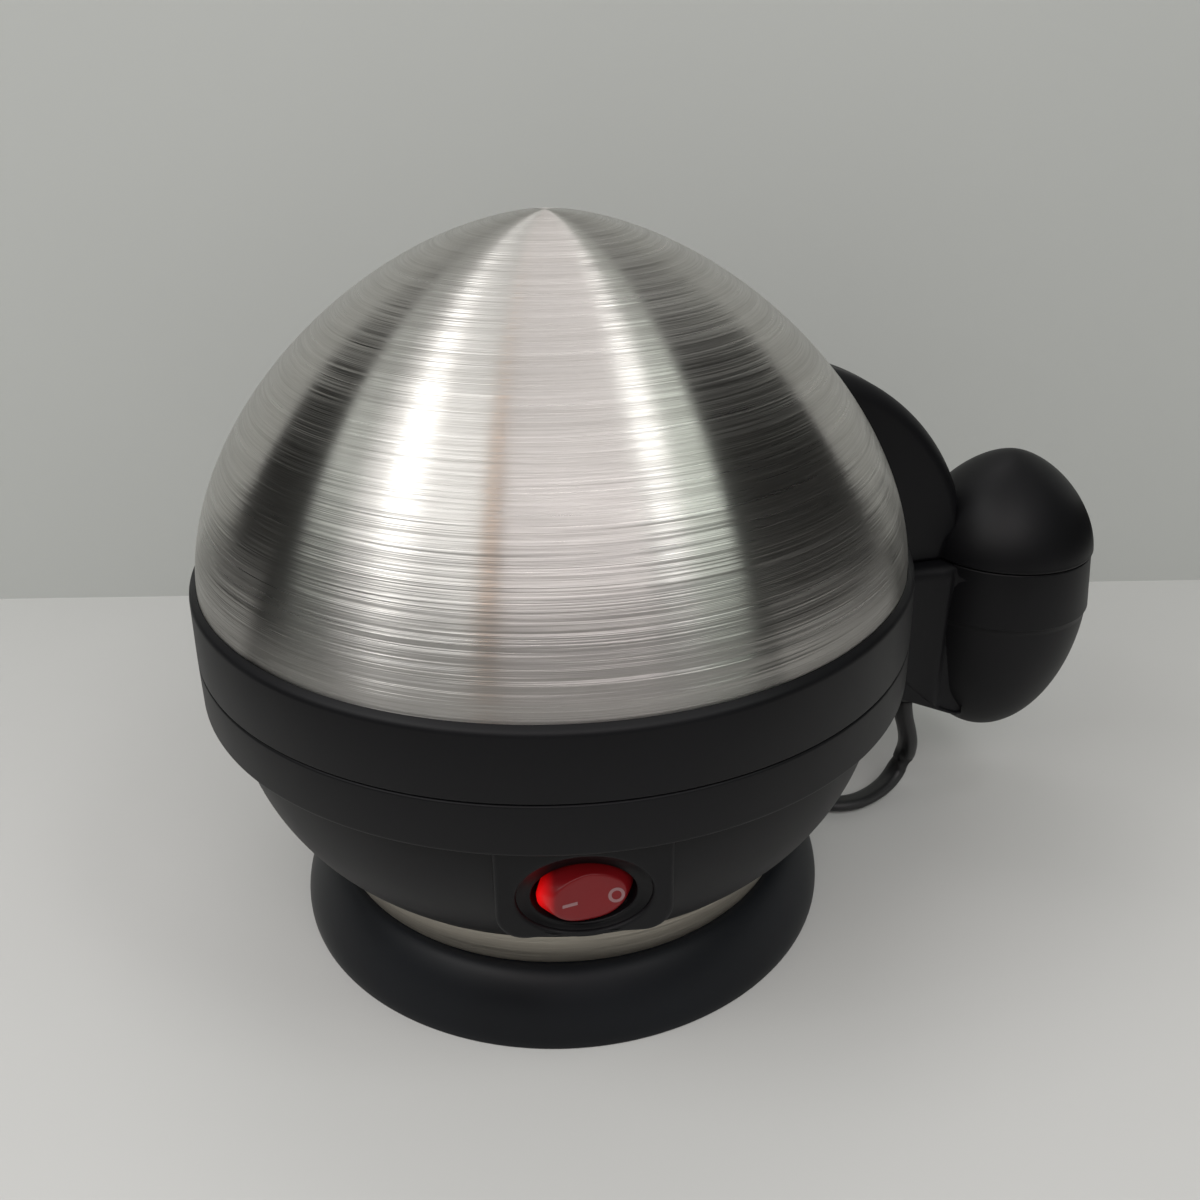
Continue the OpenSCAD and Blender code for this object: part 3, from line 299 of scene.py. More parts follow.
zinc_steel = plain_metal("steel, zinc plated", "#b9bcc0", "#ccced0", 0.3, mottle=400.0)
sheath_steel = plain_metal("steel sheath, heat darkened", "#5b534d", "#756c64", 0.45,
                           mottle=150.0)
tab_brass = plain_metal("brass, stamped", "#b79a55", "#c9ad68", 0.3, mottle=300.0)
pin_nickel = plain_metal("brass, nickel plated", "#c9c4ba", "#d8d4cb", 0.18, mottle=200.0)
gasket_silicone = smooth_moulding("silicone rubber, moulded", "#bdbab2", "#cbc8c0", 0.55,
                                  ior=1.41)
flex_pvc = smooth_moulding("PVC sheath, extruded", "#141415", "#1c1c1d", 0.42)
boot_pvc = smooth_moulding("PVC, moulded", "#121213", "#191919", 0.5)
plug_pvc = moulded_abs("PVC plug, moulded", "#151516", "#1c1c1d", 0.5)
tie_nylon = smooth_moulding("nylon tie, moulded", "#101010", "#181818", 0.35)
lead_silicone = smooth_moulding("silicone insulation, red", "#7d1c18", "#99241e", 0.5)
ceramic = smooth_moulding("steatite, fired", "#dcd6ca", "#e8e3d8", 0.5)
phenolic = smooth_moulding("phenolic, moulded", "#2c2723", "#38322c", 0.45)
mark_paint = smooth_moulding("pad-printed mark, pale", "#7f5c5e", "#8a6668", 0.5)
rocker_red = red_polycarbonate_painted_glow("polycarbonate, red, with painted glow")

# ------------------------------ meshes from numpy arrays


def make_mesh(name, points, faces, material, smooth=True):
    """An object of points in millimetres and faces, its doubles merged, its faces outwards."""
    data = bpy.data.meshes.new(name)
    metres = np.asarray(points, float) * MM
    data.from_pydata(metres.tolist(), [], [list(map(int, f)) for f in faces])
    work = bmesh.new()
    work.from_mesh(data)
    bmesh.ops.remove_doubles(work, verts=work.verts, dist=1e-6)
    bmesh.ops.recalc_face_normals(work, faces=work.faces)
    work.to_mesh(data)
    work.free()
    data.polygons.foreach_set("use_smooth", np.full(len(data.polygons), smooth))
    data.materials.append(material)
    made = bpy.data.objects.new(name, data)
    scene.collection.objects.link(made)
    return made


def grid_faces(rows, columns, wrap_rows=False, wrap_columns=False, keep=None):
    """Quads of a rows x columns grid, with an optional mask of the quads to keep."""
    r = np.arange(rows if wrap_rows else rows - 1)
    c = np.arange(columns if wrap_columns else columns - 1)
    a, b = np.meshgrid(r, c, indexing="ij")
    a2, b2 = (a + 1) % rows, (b + 1) % columns
    quads = np.stack([a * columns + b, a * columns + b2, a2 * columns + b2, a2 * columns + b],
                     axis=-1)
    return quads[keep] if keep is not None else quads.reshape(-1, 4)


def capped_faces(rows, columns, start=True):
    """Faces of a closed outline carried through rows, with a face over each end."""
    faces = [list(f) for f in grid_faces(rows, columns, False, True)]
    if start:
        faces.append(list(range(columns)))
    return faces + [list(range((rows - 1) * columns, rows * columns))]


def egg_radius(t, radius, roundness):
    """An egg's radius at a share t of its height: radius * (1 - t^roundness)^(1 / roundness)."""
    return radius * np.clip(1 - t ** roundness, 0, None) ** (1 / roundness)


def egg_curve(radius, height, roundness, count):
    """A quarter of an egg's outline, as points of (radius, height)."""
    t = np.sin(np.linspace(0, np.pi / 2, count))
    return np.stack([egg_radius(t, radius, roundness), height * t], axis=1)


def arc_between(a, b, bulge, count):
    """The arc from a to b with the given rise at its middle, to the right of the way there."""
    a, b = np.asarray(a, float), np.asarray(b, float)
    half = np.linalg.norm(b - a) / 2
    radius = (half ** 2 + bulge ** 2) / (2 * bulge)
    side = np.array([b[1] - a[1], a[0] - b[0]]) / (2 * half)
    centre = (a + b) / 2 - side * (radius - bulge)
    turn = math.asin(half / radius)
    angles = math.atan2(side[1], side[0]) + np.linspace(-turn, turn, count)
    return centre + radius * np.stack([np.cos(angles), np.sin(angles)], axis=1)


def rounded(points, steps=5):
    """A closed outline whose corners, given as (x, y, radius), become arcs: each arc is a
    quadratic curve from one tangent point through the corner to the other."""
    corners = np.array([(p[0], p[1]) for p in points], float)
    radii = [p[2] if len(p) > 2 else 0.0 for p in points]
    out = []
    for i, (corner, radius) in enumerate(zip(corners, radii)):
        if radius <= 0:
            out.append(corner)
            continue
        before, after = corners[i - 1] - corner, corners[(i + 1) % len(corners)] - corner
        lb, la = np.linalg.norm(before), np.linalg.norm(after)
        reach = min(radius, 0.49 * lb, 0.49 * la)
        start, end = corner + before / lb * reach, corner + after / la * reach
        for t in np.linspace(0, 1, steps + 1):
            out.append((1 - t) ** 2 * start + 2 * t * (1 - t) * corner + t ** 2 * end)
    return np.array(out)


def turned(name, outline, material, centre=(0.0, 0.0), steps=256, keep=None):
    """A closed outline of (radius, height) turned about an upright axis through centre."""
    angle = np.linspace(0, 2 * np.pi, steps, endpoint=False)
    r, z = outline[:, 0][:, None], outline[:, 1][:, None]
    points = np.stack([centre[0] + r * np.cos(angle), centre[1] + r * np.sin(angle),
                       z + 0 * angle], axis=-1)
    mask = None
    if keep is not None:
        quad = (points + np.roll(points, -1, 0) + np.roll(points, -1, 1)
                + np.roll(np.roll(points, -1, 0), -1, 1)) / 4
        mask = keep(quad)
    faces = grid_faces(len(outline), steps, True, True, mask)
    return make_mesh(name, points.reshape(-1, 3), faces, material)


def turn_to_handle(points):
    """Turns points about the dome's axis from the +X direction to the handle's."""
    c, s = math.cos(HANDLE_TURN), math.sin(HANDLE_TURN)
    p = np.array(points, float)
    x, y, z = p[..., 0], p[..., 1], p[..., 2]
    return np.stack([x * c - y * s, x * s + y * c, z], axis=-1)


EGG_AT = turn_to_handle((EGG_X, 0, 0))


def swept(name, path, outline, start_side, material):
    """A closed outline of (side, up) carried along a path; the side direction is carried along
    without a twist, and turns level where the path comes down to the table."""
    path = np.asarray(path, float)
    ahead = np.gradient(path, axis=0)
    ahead /= np.linalg.norm(ahead, axis=1)[:, None]
    side = np.empty_like(path)
    current = np.array(start_side, float)
    lying = np.maximum.accumulate(np.clip((LEVEL_FROM_Z - path[:, 2]) / 12, 0, 1))
    for i, h in enumerate(ahead):
        current = current - h * (current @ h)
        current /= np.linalg.norm(current)
        level = np.array([h[1], -h[0], 0.0])
        level *= np.sign(level @ current) / max(np.linalg.norm(level), 1e-9)
        side[i] = current + (level - current) * lying[i]
        side[i] /= np.linalg.norm(side[i])
    up = np.cross(side, ahead)
    points = (path[:, None, :] + side[:, None, :] * outline[None, :, :1]
              + up[:, None, :] * outline[None, :, 1:2])
    faces = capped_faces(len(path), len(outline))
    return make_mesh(name, points.reshape(-1, 3), faces, material)


def smooth_path(points, spacing=2.0):
    """A smooth curve through the points (Catmull-Rom), resampled at even spacing."""
    p = np.asarray(points, float)
    p = np.vstack([2 * p[0] - p[1], p, 2 * p[-1] - p[-2]])
    t = np.linspace(0, 1, 12, endpoint=False)[:, None]
    pieces = []
    for i in range(1, len(p) - 2):
        a, b, c, d = p[i - 1], p[i], p[i + 1], p[i + 2]
        pieces.append(0.5 * (2 * b + (c - a) * t + (2 * a - 5 * b + 4 * c - d) * t ** 2
                             + (3 * b - a - 3 * c + d) * t ** 3))
    curve = np.vstack(pieces + [p[-2][None]])
    run = np.concatenate([[0], np.cumsum(np.linalg.norm(np.diff(curve, axis=0), axis=1))])
    even = np.linspace(0, run[-1], int(run[-1] / spacing) + 1)
    return np.stack([np.interp(even, run, curve[:, k]) for k in range(3)], axis=1)


# ------------------------------ cord

BOOT_AT = (100.2524, 10.7725)
# Down from the strain relief, measured from BOOT_AT
DROP = [(0, 0, 39.9), (0, 0, 38.7), (0.5, 0.4, 36.1), (1.7, 1.5, 32), (3.6, 3.2, 27),
        (5.5, 5.6, 21.5), (6.7, 8.2, 16.5), (6.9, 10.2, 12), (5.9, 11, 8), (3.3, 9.2, 4.9),
        (-0.5, 6.6, 3), (-5.3, 3.8, 2.2), (-10.1, 1.6, TABLE_Z), (-14.7, 1, TABLE_Z),
        (-19.1, 2, TABLE_Z), (-22.5, 4.8, TABLE_Z), (-24.9, 9, TABLE_Z), (-26.1, 14.2, TABLE_Z),
        (-26.7, 20.2, TABLE_Z), (-27.3, 27.2, TABLE_Z), (-29.3, 35.2, TABLE_Z)]
# Along the table, measured from the coil's +X side; and off its top, from its centre
RUN = [(19.3, -61), (15.5, -52), (11.3, -43), (7.3, -34), (3.7, -25), (1.2, -16), (0.1, -8)]
TAIL = [(-7, 35, 9.65), (-14, 35.8, 9.65), (-21, 36.5, 9.35), (-28, 37, 7.95), (-33, 37, 6.95),
        (-34.9, 37, 6.85)]
COIL_X, COIL_Y, COIL_R, COIL_PITCH, COIL_SIDE, COIL_TURNS = 4.9524, 116.0, 34.0, 6.5, 43.7, 3.16


def coil_points():
    """Three turns and a part: an outer one and an inner one on the table, an inner one and an
    outer one on top of them. The radius and the height ease from one turn's to the next over the
    last 0.38 of a turn, anticlockwise from the +X side."""
    outer, inner = COIL_R + COIL_PITCH / 2, COIL_R - COIL_PITCH / 2
    low, high = FLEX_T / 2 + 0.05, 1.5 * FLEX_T + 0.15
    stops = np.array([(outer, low), (inner, low), (inner, high), (outer, high), (outer, high)])
    turns = np.linspace(0.0, COIL_TURNS, 130)
    index = np.minimum(turns.astype(int), 3)
    share = np.clip((turns - index - 0.62) / 0.38, 0, 1)
    ease = share ** 2 * (3 - 2 * share)
    place = stops[index] + (stops[index + 1] - stops[index]) * ease[:, None]
    angle = 2 * np.pi * turns
    radius, height = place[:, 0], place[:, 1]
    return np.stack([COIL_X + radius * np.cos(angle), COIL_Y + radius * np.sin(angle), height],
                    axis=1)


def add_cord():
    """The whole flex, one tube: down from the boot, along the table, round the coil and off its
    top to the plug."""
    drop = [(BOOT_AT[0] + x, BOOT_AT[1] + y, z) for x, y, z in DROP]
    run = [(COIL_X + COIL_SIDE + x, COIL_Y + y, TABLE_Z) for x, y in RUN]
    tail = [(COIL_X + x, COIL_Y + y, z) for x, y, z in TAIL]
    whole = smooth_path(np.vstack([drop, run, coil_points(), tail]))
    angle = np.linspace(0, 2 * np.pi, 20, endpoint=False)
    # A flat two-core sheath: an oval with a shallow groove between the cores
    groove = 1 - 0.13 * np.exp(-(np.cos(angle) / 0.22) ** 2)
    outline = np.stack([FLEX_W / 2 * np.cos(angle), FLEX_T / 2 * np.sin(angle) * groove],
                       axis=1)
    flex = swept("flex", whole, outline, (0.66, -0.75, 0.0), flex_pvc)
    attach(flex, "base")
    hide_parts("cord", "cord_coil", "cord_tail")
    length = float(np.linalg.norm(np.diff(whole, axis=0), axis=1).sum())
    return length


cord_length = add_cord()

# ------------------------------ lid


def dome_radius(z):
    """Outer radius of the dome at a height."""
    return egg_radius(np.clip((z - DOME_Z) / DOME_H, 0, 1), DOME_R, DOME_ROUND)


def add_dome():
    """A thin shell: the egg outline outside, the same one a wall smaller inside."""
    outer = egg_curve(DOME_R, DOME_H, DOME_ROUND, 110) + (0, DOME_Z)
    inner = egg_curve(DOME_R - DOME_WALL, DOME_H - DOME_WALL, DOME_ROUND, 60) + (0, DOME_Z)
    low = [(DOME_R - DOME_WALL, LEDGE_Z + CLEAR), (DOME_R, LEDGE_Z + CLEAR)]
    outline = np.vstack([low, outer, inner[::-1]])
    dome = turned("dome", outline, dome_steel, steps=320)
    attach(dome, "lid")
    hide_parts("dome_shell")


def add_rim():
    """The black ring round the dome's foot, with the lip that hangs inside the band."""
    lip_r = BAND_TOP_R - BAND_WALL - LIP_GAP
    outline = rounded([
        (BAND_TOP_R, LID_Z, 0.5), (BAND_R - RIM_DRAFT, RIM_TOP_Z, 1.0),
        (DOME_R + CLEAR, DOME_Z, 0.25), (DOME_R + CLEAR, LEDGE_Z), (lip_r - LIP_T, LEDGE_Z, 0.3),
        (lip_r - LIP_T, SEAM_Z - LIP_H, 0.4), (lip_r, SEAM_Z - LIP_H, 0.6), (lip_r, LID_Z)])
    rim = turned("lid_ring", outline, black_abs, steps=288)
    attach(rim, "lid")
    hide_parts("lid_rim")


def add_egg_cap():
    """The handle egg's upper half: a hollow egg end with a lip that hangs below its edge."""
    outer = egg_curve(EGG_R, EGG_CAP_H, EGG_CAP_ROUND, 60) + (0, LID_Z)
    inner = egg_curve(EGG_R - EGG_WALL, EGG_CAP_H - EGG_WALL, EGG_CAP_ROUND, 40) + (0, LID_Z)
    keep = inner[inner[:, 0] < KEY_R - KEY_WALL]
    low = SEAM_Z - KEY_H + 0.3
    lip = rounded([(KEY_R - KEY_WALL, LID_Z + 3), (KEY_R - KEY_WALL, low, 0.4), (KEY_R, low, 0.4),
                   (KEY_R, LID_Z), (EGG_R, LID_Z, 0.6), (EGG_R, LID_Z + 2)])[:-1]
    outline = np.vstack([keep[::-1], lip, outer[outer[:, 1] > LID_Z + 0.7]])
    cap = turned("handle_cap", outline, black_abs, EGG_AT, 160)
    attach(cap, "lid")
    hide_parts("egg_cap")


def add_arm():
    """The arm from the dome to the cap, row by row in height. Across a row the outer edge lies
    on a disc with rounded edges, and stops inside the cap's wall; the inner edge lies inside the
    dome's wall."""
    tip = np.array([float(dome_radius(ARM_TIP_Z)), ARM_TIP_Z])
    shoulder = np.array([ARM_X, ARM_SHOULDER_Z])
    chord = np.linalg.norm(shoulder - tip)
    radius = (chord ** 2 / 4 + ARM_BULGE ** 2) / (2 * ARM_BULGE)
    normal = np.array([tip[1] - shoulder[1], shoulder[0] - tip[0]]) / chord
    centre = (tip + shoulder) / 2 - normal * (radius - ARM_BULGE)
    half = ARM_W / 2
    across = half * np.sin(np.linspace(-np.pi / 2, np.pi / 2, 41))
    z = np.concatenate([np.linspace(LID_Z, DOME_Z, 20),
                        np.linspace(DOME_Z + 0.6, ARM_TIP_Z + 3, 70)])
    y, zz = np.meshgrid(across, z)
    past = np.clip(np.abs(y) - (half - ARM_ROUND), 0, ARM_ROUND)
    disc = radius - ARM_ROUND + np.sqrt(ARM_ROUND ** 2 - past ** 2)
    outer = centre[0] + np.sqrt(np.clip(disc ** 2 - (zz - centre[1]) ** 2, 0, None))
    outer = np.minimum(outer, ARM_X)
    cap_r = egg_radius(np.clip((zz - LID_Z) / EGG_CAP_H, 0, 1), EGG_R, EGG_CAP_ROUND)
    cap_edge = EGG_X + 1.2 - np.sqrt(np.clip(cap_r ** 2 - y ** 2, 0, None))
    outer = np.minimum(outer, np.where(cap_r > np.abs(y), cap_edge, np.inf))
    wall = np.where(zz < DOME_Z, BAND_R - 2.0, dome_radius(zz) - 0.4)
    inner = np.sqrt(np.clip(wall ** 2 - y ** 2, 0, None))
    outer = np.maximum(outer, inner)
    front, back = np.stack([outer, y, zz], axis=2), np.stack([inner, y, zz], axis=2)
    share = np.linspace(0, 1, 9)[1:-1, None]
    right = back[:, :1] + (front[:, :1] - back[:, :1]) * share
    left = front[:, -1:] + (back[:, -1:] - front[:, -1:]) * share
    grid = turn_to_handle(np.concatenate([right, front, left, back[:, ::-1]], axis=1))
    rows, count = grid.shape[:2]
    # The underside gets a face; at the top the two edges meet inside the dome's wall
    faces = [list(f) for f in grid_faces(rows, count, False, True)] + [list(range(count))]
    arm = make_mesh("arm", grid.reshape(-1, 3), faces, black_abs)
    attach(arm, "lid")
    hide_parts("lid_arm")


add_dome()
add_rim()
add_egg_cap()
add_arm()

# ------------------------------ base


def add_foot():
    """The flared foot: a hollow skirt that stands on the ring at its edge."""
    flare, rise = FOOT_R - FOOT_TOP_R, FOOT_H - FOOT_EDGE
    top = egg_curve(flare, rise, FOOT_ROUND, 40) + (FOOT_TOP_R, FOOT_EDGE)
    inner = (egg_curve(flare, rise - FOOT_WALL, FOOT_ROUND, 30)
             + (FOOT_TOP_R - FOOT_WALL, FOOT_EDGE))
    edge = rounded([(FOOT_R - REST_W, FOOT_EDGE), (FOOT_R - REST_W, 0, 0.4), (FOOT_R, 0, 0.5),
                    (FOOT_R, FOOT_EDGE)])
    hole = [(FOOT_IN_R, FOOT_H), (FOOT_IN_R, FOOT_H - FOOT_WALL)]
    foot = turned("foot", np.vstack([edge, top[1:], hole, inner[:0:-1]]), foot_abs_painted_sheen)
    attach(foot, "base")
    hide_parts("foot_base")


def add_collar():
    """The steel ring between the foot and the bowl."""
    low, top = FOOT_H + CLEAR, COLLAR_TOP_Z - CLEAR
    outline = rounded([(COLLAR_LOW_R - COLLAR_WALL, low, 0.2), (COLLAR_LOW_R, low, 0.3),
                       (COLLAR_TOP_R, top, 0.3), (COLLAR_TOP_R - COLLAR_WALL, top, 0.2)])
    ring = turned("collar", outline, collar_steel)
    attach(ring, "base")
    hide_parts("collar_ring")


BOWL = arc_between((COLLAR_TOP_R, COLLAR_TOP_Z), (BOWL_TOP_R, STEP_Z), BOWL_BULGE, 40)


def add_base():
    """Bowl, step and band as one turned wall, open where the switch panel stands."""
    hollow = arc_between((COLLAR_TOP_R - BOWL_WALL, COLLAR_TOP_Z + FLOOR_T),
                         (BOWL_TOP_R - BOWL_WALL, STEP_Z), BOWL_BULGE, 30)
    step = rounded([tuple(BOWL[-2]), (*BOWL[-1], 0.6), (BAND_R, STEP_Z, 0.9),
                    (BAND_TOP_R, SEAM_Z, 0.6), (BAND_TOP_R - BAND_WALL, SEAM_Z, 0.4),
                    (BAND_TOP_R - BAND_WALL, SEAT_Z), (BOWL_TOP_R - BOWL_WALL, SEAT_Z)])
    outline = np.vstack([[(FLOOR_HOLE_R, COLLAR_TOP_Z)], BOWL[:-2], step, hollow[::-1],
                         [(FLOOR_HOLE_R, COLLAR_TOP_Z + FLOOR_T)]])

    def outside_panel(centre):
        """Which faces to keep: all but those behind the panel, a little inside its outline."""
        x, y, z = centre[..., 0], centre[..., 1], centre[..., 2]
        behind = (np.abs(x) < PANEL_W / 2 - 1.5) & (y < -60)
        behind &= (z > PANEL_LOW_Z + 1.5) & (z < STEP_Z - 0.3)
        return ~(behind & (np.hypot(x, y) > BOWL_TOP_R - 9))

    base = turned("base_wall", outline, black_abs, steps=288, keep=outside_panel)
    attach(base, "base")
    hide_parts("bowl_housing")


def add_panel():
    """The flat switch panel: rings that run from its sides over its rounded edge to the front,
    then over the lip of the oval recess and down its wall to the switch's bezel."""
    count = 192
    angle = np.linspace(0, 2 * np.pi, count, endpoint=False)
    c, s = np.cos(angle), np.sin(angle)
    half_w, top, low = PANEL_W / 2, STEP_Z - SWITCH_Z, SWITCH_Z - PANEL_LOW_Z
    # Distance from the switch's centre to the panel's outline: a rounded rectangle
    reach_x = half_w / np.maximum(np.abs(c), 1e-9)
    reach_z = np.where(s > 0, top, low) / np.maximum(np.abs(s), 1e-9)
    reach = np.minimum(reach_x, reach_z)
    ox, oz = reach * c, reach * s
    corner_x, corner_z = half_w - PANEL_CORNER, low - PANEL_CORNER
    inside = (oz < -corner_z) & (np.abs(ox) > corner_x)
    dirs = np.stack([c, s], axis=1)
    mid = np.stack([np.sign(c) * corner_x, np.full_like(c, -corner_z)], axis=1)
    along = (dirs * mid).sum(1)
    gap = np.sqrt(np.clip(PANEL_CORNER ** 2 - ((mid ** 2).sum(1) - along ** 2), 0, None))
    length = np.where(inside, along + gap, reach)
    outer = dirs * length[:, None]
    oval = np.stack([RECESS_W / 2 * c, RECESS_H / 2 * s], axis=1)
    # The sides start a little inside the bowl's wall
    wall = np.interp(SWITCH_Z + outer[:, 1], BOWL[:, 1], BOWL[:, 0]) - BOWL_WALL
    rings = [(outer, np.sqrt(wall ** 2 - outer[:, 0] ** 2) - 0.3), (outer, PANEL_Y - PANEL_EDGE)]
    for t in np.linspace(0, np.pi / 2, 6)[1:]:
        inward = (1 - PANEL_EDGE * (1 - np.cos(t)) / length)[:, None]
        rings.append((outer * inward, PANEL_Y - PANEL_EDGE + PANEL_EDGE * np.sin(t)))
    flat = outer * (1 - PANEL_EDGE / length)[:, None]
    lip = oval * (1 + PANEL_LIP / np.linalg.norm(oval, axis=1))[:, None]
    for t in np.linspace(0, 1, 8)[1:]:
        rings.append((flat + (lip - flat) * t, PANEL_Y))
    for t in np.linspace(0, np.pi / 2, 7)[1:]:
        rings.append((lip + (oval - lip) * np.sin(t), PANEL_Y - PANEL_LIP * (1 - np.cos(t))))
    rings.append((oval, RECESS_Y))
    points = np.array([np.stack([p[:, 0], 0 * p[:, 0] - y, SWITCH_Z + p[:, 1]], axis=1)
                       for p, y in rings])
    faces = grid_faces(len(rings), count, False, True)
    panel = make_mesh("switch_panel", points.reshape(-1, 3), faces, black_abs)
    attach(panel, "base")


def add_bezel():
    """The switch's body: a dish that falls from the panel to the rocker's opening, and the walls
    of the well in which the rocker tilts. Rings run from its back over the dish and down the
    well; each is an ellipse with its own half width, half height, depth and drop."""
    count = 160
    angle = np.linspace(0, 2 * np.pi, count, endpoint=False)
    hole = np.array([ROCKER_W / 2 + ROCKER_GAP, ROCKER_H / 2 + ROCKER_GAP])
    edge = np.array([RECESS_W / 2 + 0.04, RECESS_H / 2 + 0.04])
    body = np.array([ROCKER_W / 2 + 1.8, ROCKER_H / 2 + 1.5])
    back, top, low = RECESS_Y - SWITCH_D, PANEL_Y - PANEL_LIP, RECESS_Y + 1.3
    stops = [(body * 0, back, 0), (body, back, 0), (body, RECESS_Y + CLEAR, 0),
             (edge, RECESS_Y + CLEAR, 0), (edge, top, 0)]
    for share in np.linspace(0.1, 1, 12):
        stops.append((edge + (hole + 0.3 - edge) * share, low + (top - low) * (1 - share) ** 1.5,
                      ROCKER_DOWN * share))
    stops += [(hole + 0.08, low - 0.1, ROCKER_DOWN), (hole, low - 0.35, ROCKER_DOWN),
              (hole, back + WELL_FLOOR, ROCKER_DOWN), (hole * 0, back + WELL_FLOOR, ROCKER_DOWN)]
    rings = []
    for half, y, down in stops:
        # The dish leans back at its top as it sinks
        lean = BEZEL_LEAN * np.sin(angle) * down / ROCKER_DOWN * (y > RECESS_Y)
        rings.append(np.column_stack([np.cos(angle) * half[0], lean - y,
                                      SWITCH_Z - down + np.sin(angle) * half[1]]))
    faces = grid_faces(len(rings), count, False, True)
    bezel = make_mesh("switch_bezel", np.array(rings).reshape(-1, 3), faces, bezel_abs)
    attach(bezel, "base")
    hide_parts("switch_body")


def add_neck():
    """The neck under the arm, an upside-down channel whose section is swept outwards from the
    bowl. Its upper part is wide at the root and narrows in a concave line, then runs smoothly
    into the egg; under a sloped edge the wall steps in to a plain narrow web."""
    x = np.linspace(BOWL_TOP_R - 1.0, EGG_X - 13, 60)
    side = arc_between((EGG_X - EGG_R, NECK_W / 2 - 0.5), (BOWL_TOP_R - 6, NECK_ROOT_W / 2 - 1),
                       -NECK_HOLLOW, 30)[::-1]
    half = np.interp(x, side[:, 0], side[:, 1])
    low = np.maximum(NECK_ROOT_Z - 0.46 * (x - NECK_START_X), NECK_LOW_Z)
    step = np.maximum(NECK_FLARE_Z - 0.95 * (x - NECK_START_X), low + 0.8)
    web = NECK_W / 2 - NECK_STEP
    hollow = web - NECK_WALL

    def joined(reach, at_x, z):
        """The neck's half width run together with the egg's. Where the two are less than
        NECK_BLEND apart the wall fills the corner between them; past it the wall sinks under the
        egg's surface."""
        share = np.clip((EGG_BAND_Z - z) / EGG_LOW_H, 0, 1)
        egg = egg_radius(share, EGG_WIDE_R - EGG_STEP, EGG_LOW_ROUND)
        draft = (EGG_WIDE_R - EGG_R + 0.4) / (SEAM_Z - EGG_BAND_Z)
        egg = np.where(z > EGG_BAND_Z, EGG_WIDE_R - draft * (z - EGG_BAND_Z), egg)
        egg = np.sqrt(np.clip(egg ** 2 - (at_x - EGG_X) ** 2, 0, None))
        past = np.clip((at_x - 107) / 9, 0, 1)
        reach = reach - 4 * past
        gap = np.abs(egg - reach)
        soft = (1 - past) * np.clip((SEAM_Z - 2 - z) / 8, 0, 1)
        fill = soft * np.clip(NECK_BLEND - gap, 0, None) ** 2 / (4 * NECK_BLEND)
        under = 0.35 * np.maximum(past, np.clip(gap / 3 - 2, 0, 1) * (egg > reach))
        return np.maximum(egg, reach) + fill - under

    rows = []
    for at_x, wide, bottom, edge in zip(x, half, low, step):
        right = [(wide, SEAM_Z, NECK_ROUND), (wide, edge + 0.6, 0.5), (web, edge, 0.3),
                 (web, bottom, 0.8), (hollow, bottom, 0.5), (hollow, BOOT_TOP_Z, 1.0)]
        left = [(-px, z, corner) for px, z, corner in right[::-1]]
        outline = rounded(left[2:] + right + left[:2])
        across, z = outline[:, 0], outline[:, 1]
        share = np.clip((np.abs(across) - web) / max(wide - web, 0.1), 0, 1)
        share *= np.abs(across) > web + CLEAR
        across = across + np.sign(across) * (joined(wide, at_x, z) - wide) * share
        rows.append(np.stack([np.full(len(z), at_x), across, z], axis=1))
    grid = turn_to_handle(np.array(rows))
    neck = make_mesh("neck", grid.reshape(-1, 3), capped_faces(*grid.shape[:2]), black_abs)
    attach(neck, "base")


def add_egg_low():
    """The handle egg's lower half: a plain band, a small step in, and the egg's deep end."""
    low = egg_curve(EGG_WIDE_R - EGG_STEP, EGG_LOW_H, EGG_LOW_ROUND, 70)
    low = np.stack([low[:, 0], EGG_BAND_Z - low[:, 1]], axis=1)
    socket = KEY_R + 0.3
    rim = rounded([(0, SEAM_Z - KEY_H), (socket, SEAM_Z - KEY_H, 0.5), (socket, SEAM_Z, 0.4),
                   (EGG_R - 0.4, SEAM_Z, 0.6), (EGG_WIDE_R, EGG_BAND_Z, 0.45),
                   (EGG_WIDE_R - EGG_STEP, EGG_BAND_Z - 0.1)])
    outline = np.vstack([rim, low[2:]])
    egg = turned("handle_egg", outline, black_abs, EGG_AT, 160)
    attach(egg, "base")
    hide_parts("handle_base")


def add_boot():
    """The strain relief: a tapered sleeve whose waist is cut into ribs."""
    top = BOOT_TOP_Z - 0.1
    z = np.linspace(BOOT_LOW_Z, top, 120)
    taper = BOOT_LOW_R + 0.7 * (z - BOOT_LOW_Z) / (BOOT_GRIP_Z - BOOT_LOW_Z)
    r = np.where(z > BOOT_GRIP_Z, BOOT_R, taper)
    slot = ((z - RIB_LOW_Z) % RIB_PITCH < RIB_SLOT) & (z > RIB_LOW_Z) & (z < RIB_TOP_Z)
    r = np.where(slot, r - RIB_DEPTH, r)
    outline = np.vstack([[(0, BOOT_LOW_Z)], np.stack([r, z], axis=1), [(0, top)]])
    centre = turn_to_handle((BOOT_X, BOOT_Y, 0))
    boot = turned("strain_relief", outline, boot_pvc, centre, 64)
    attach(boot, "base")
    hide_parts("cord_boot")


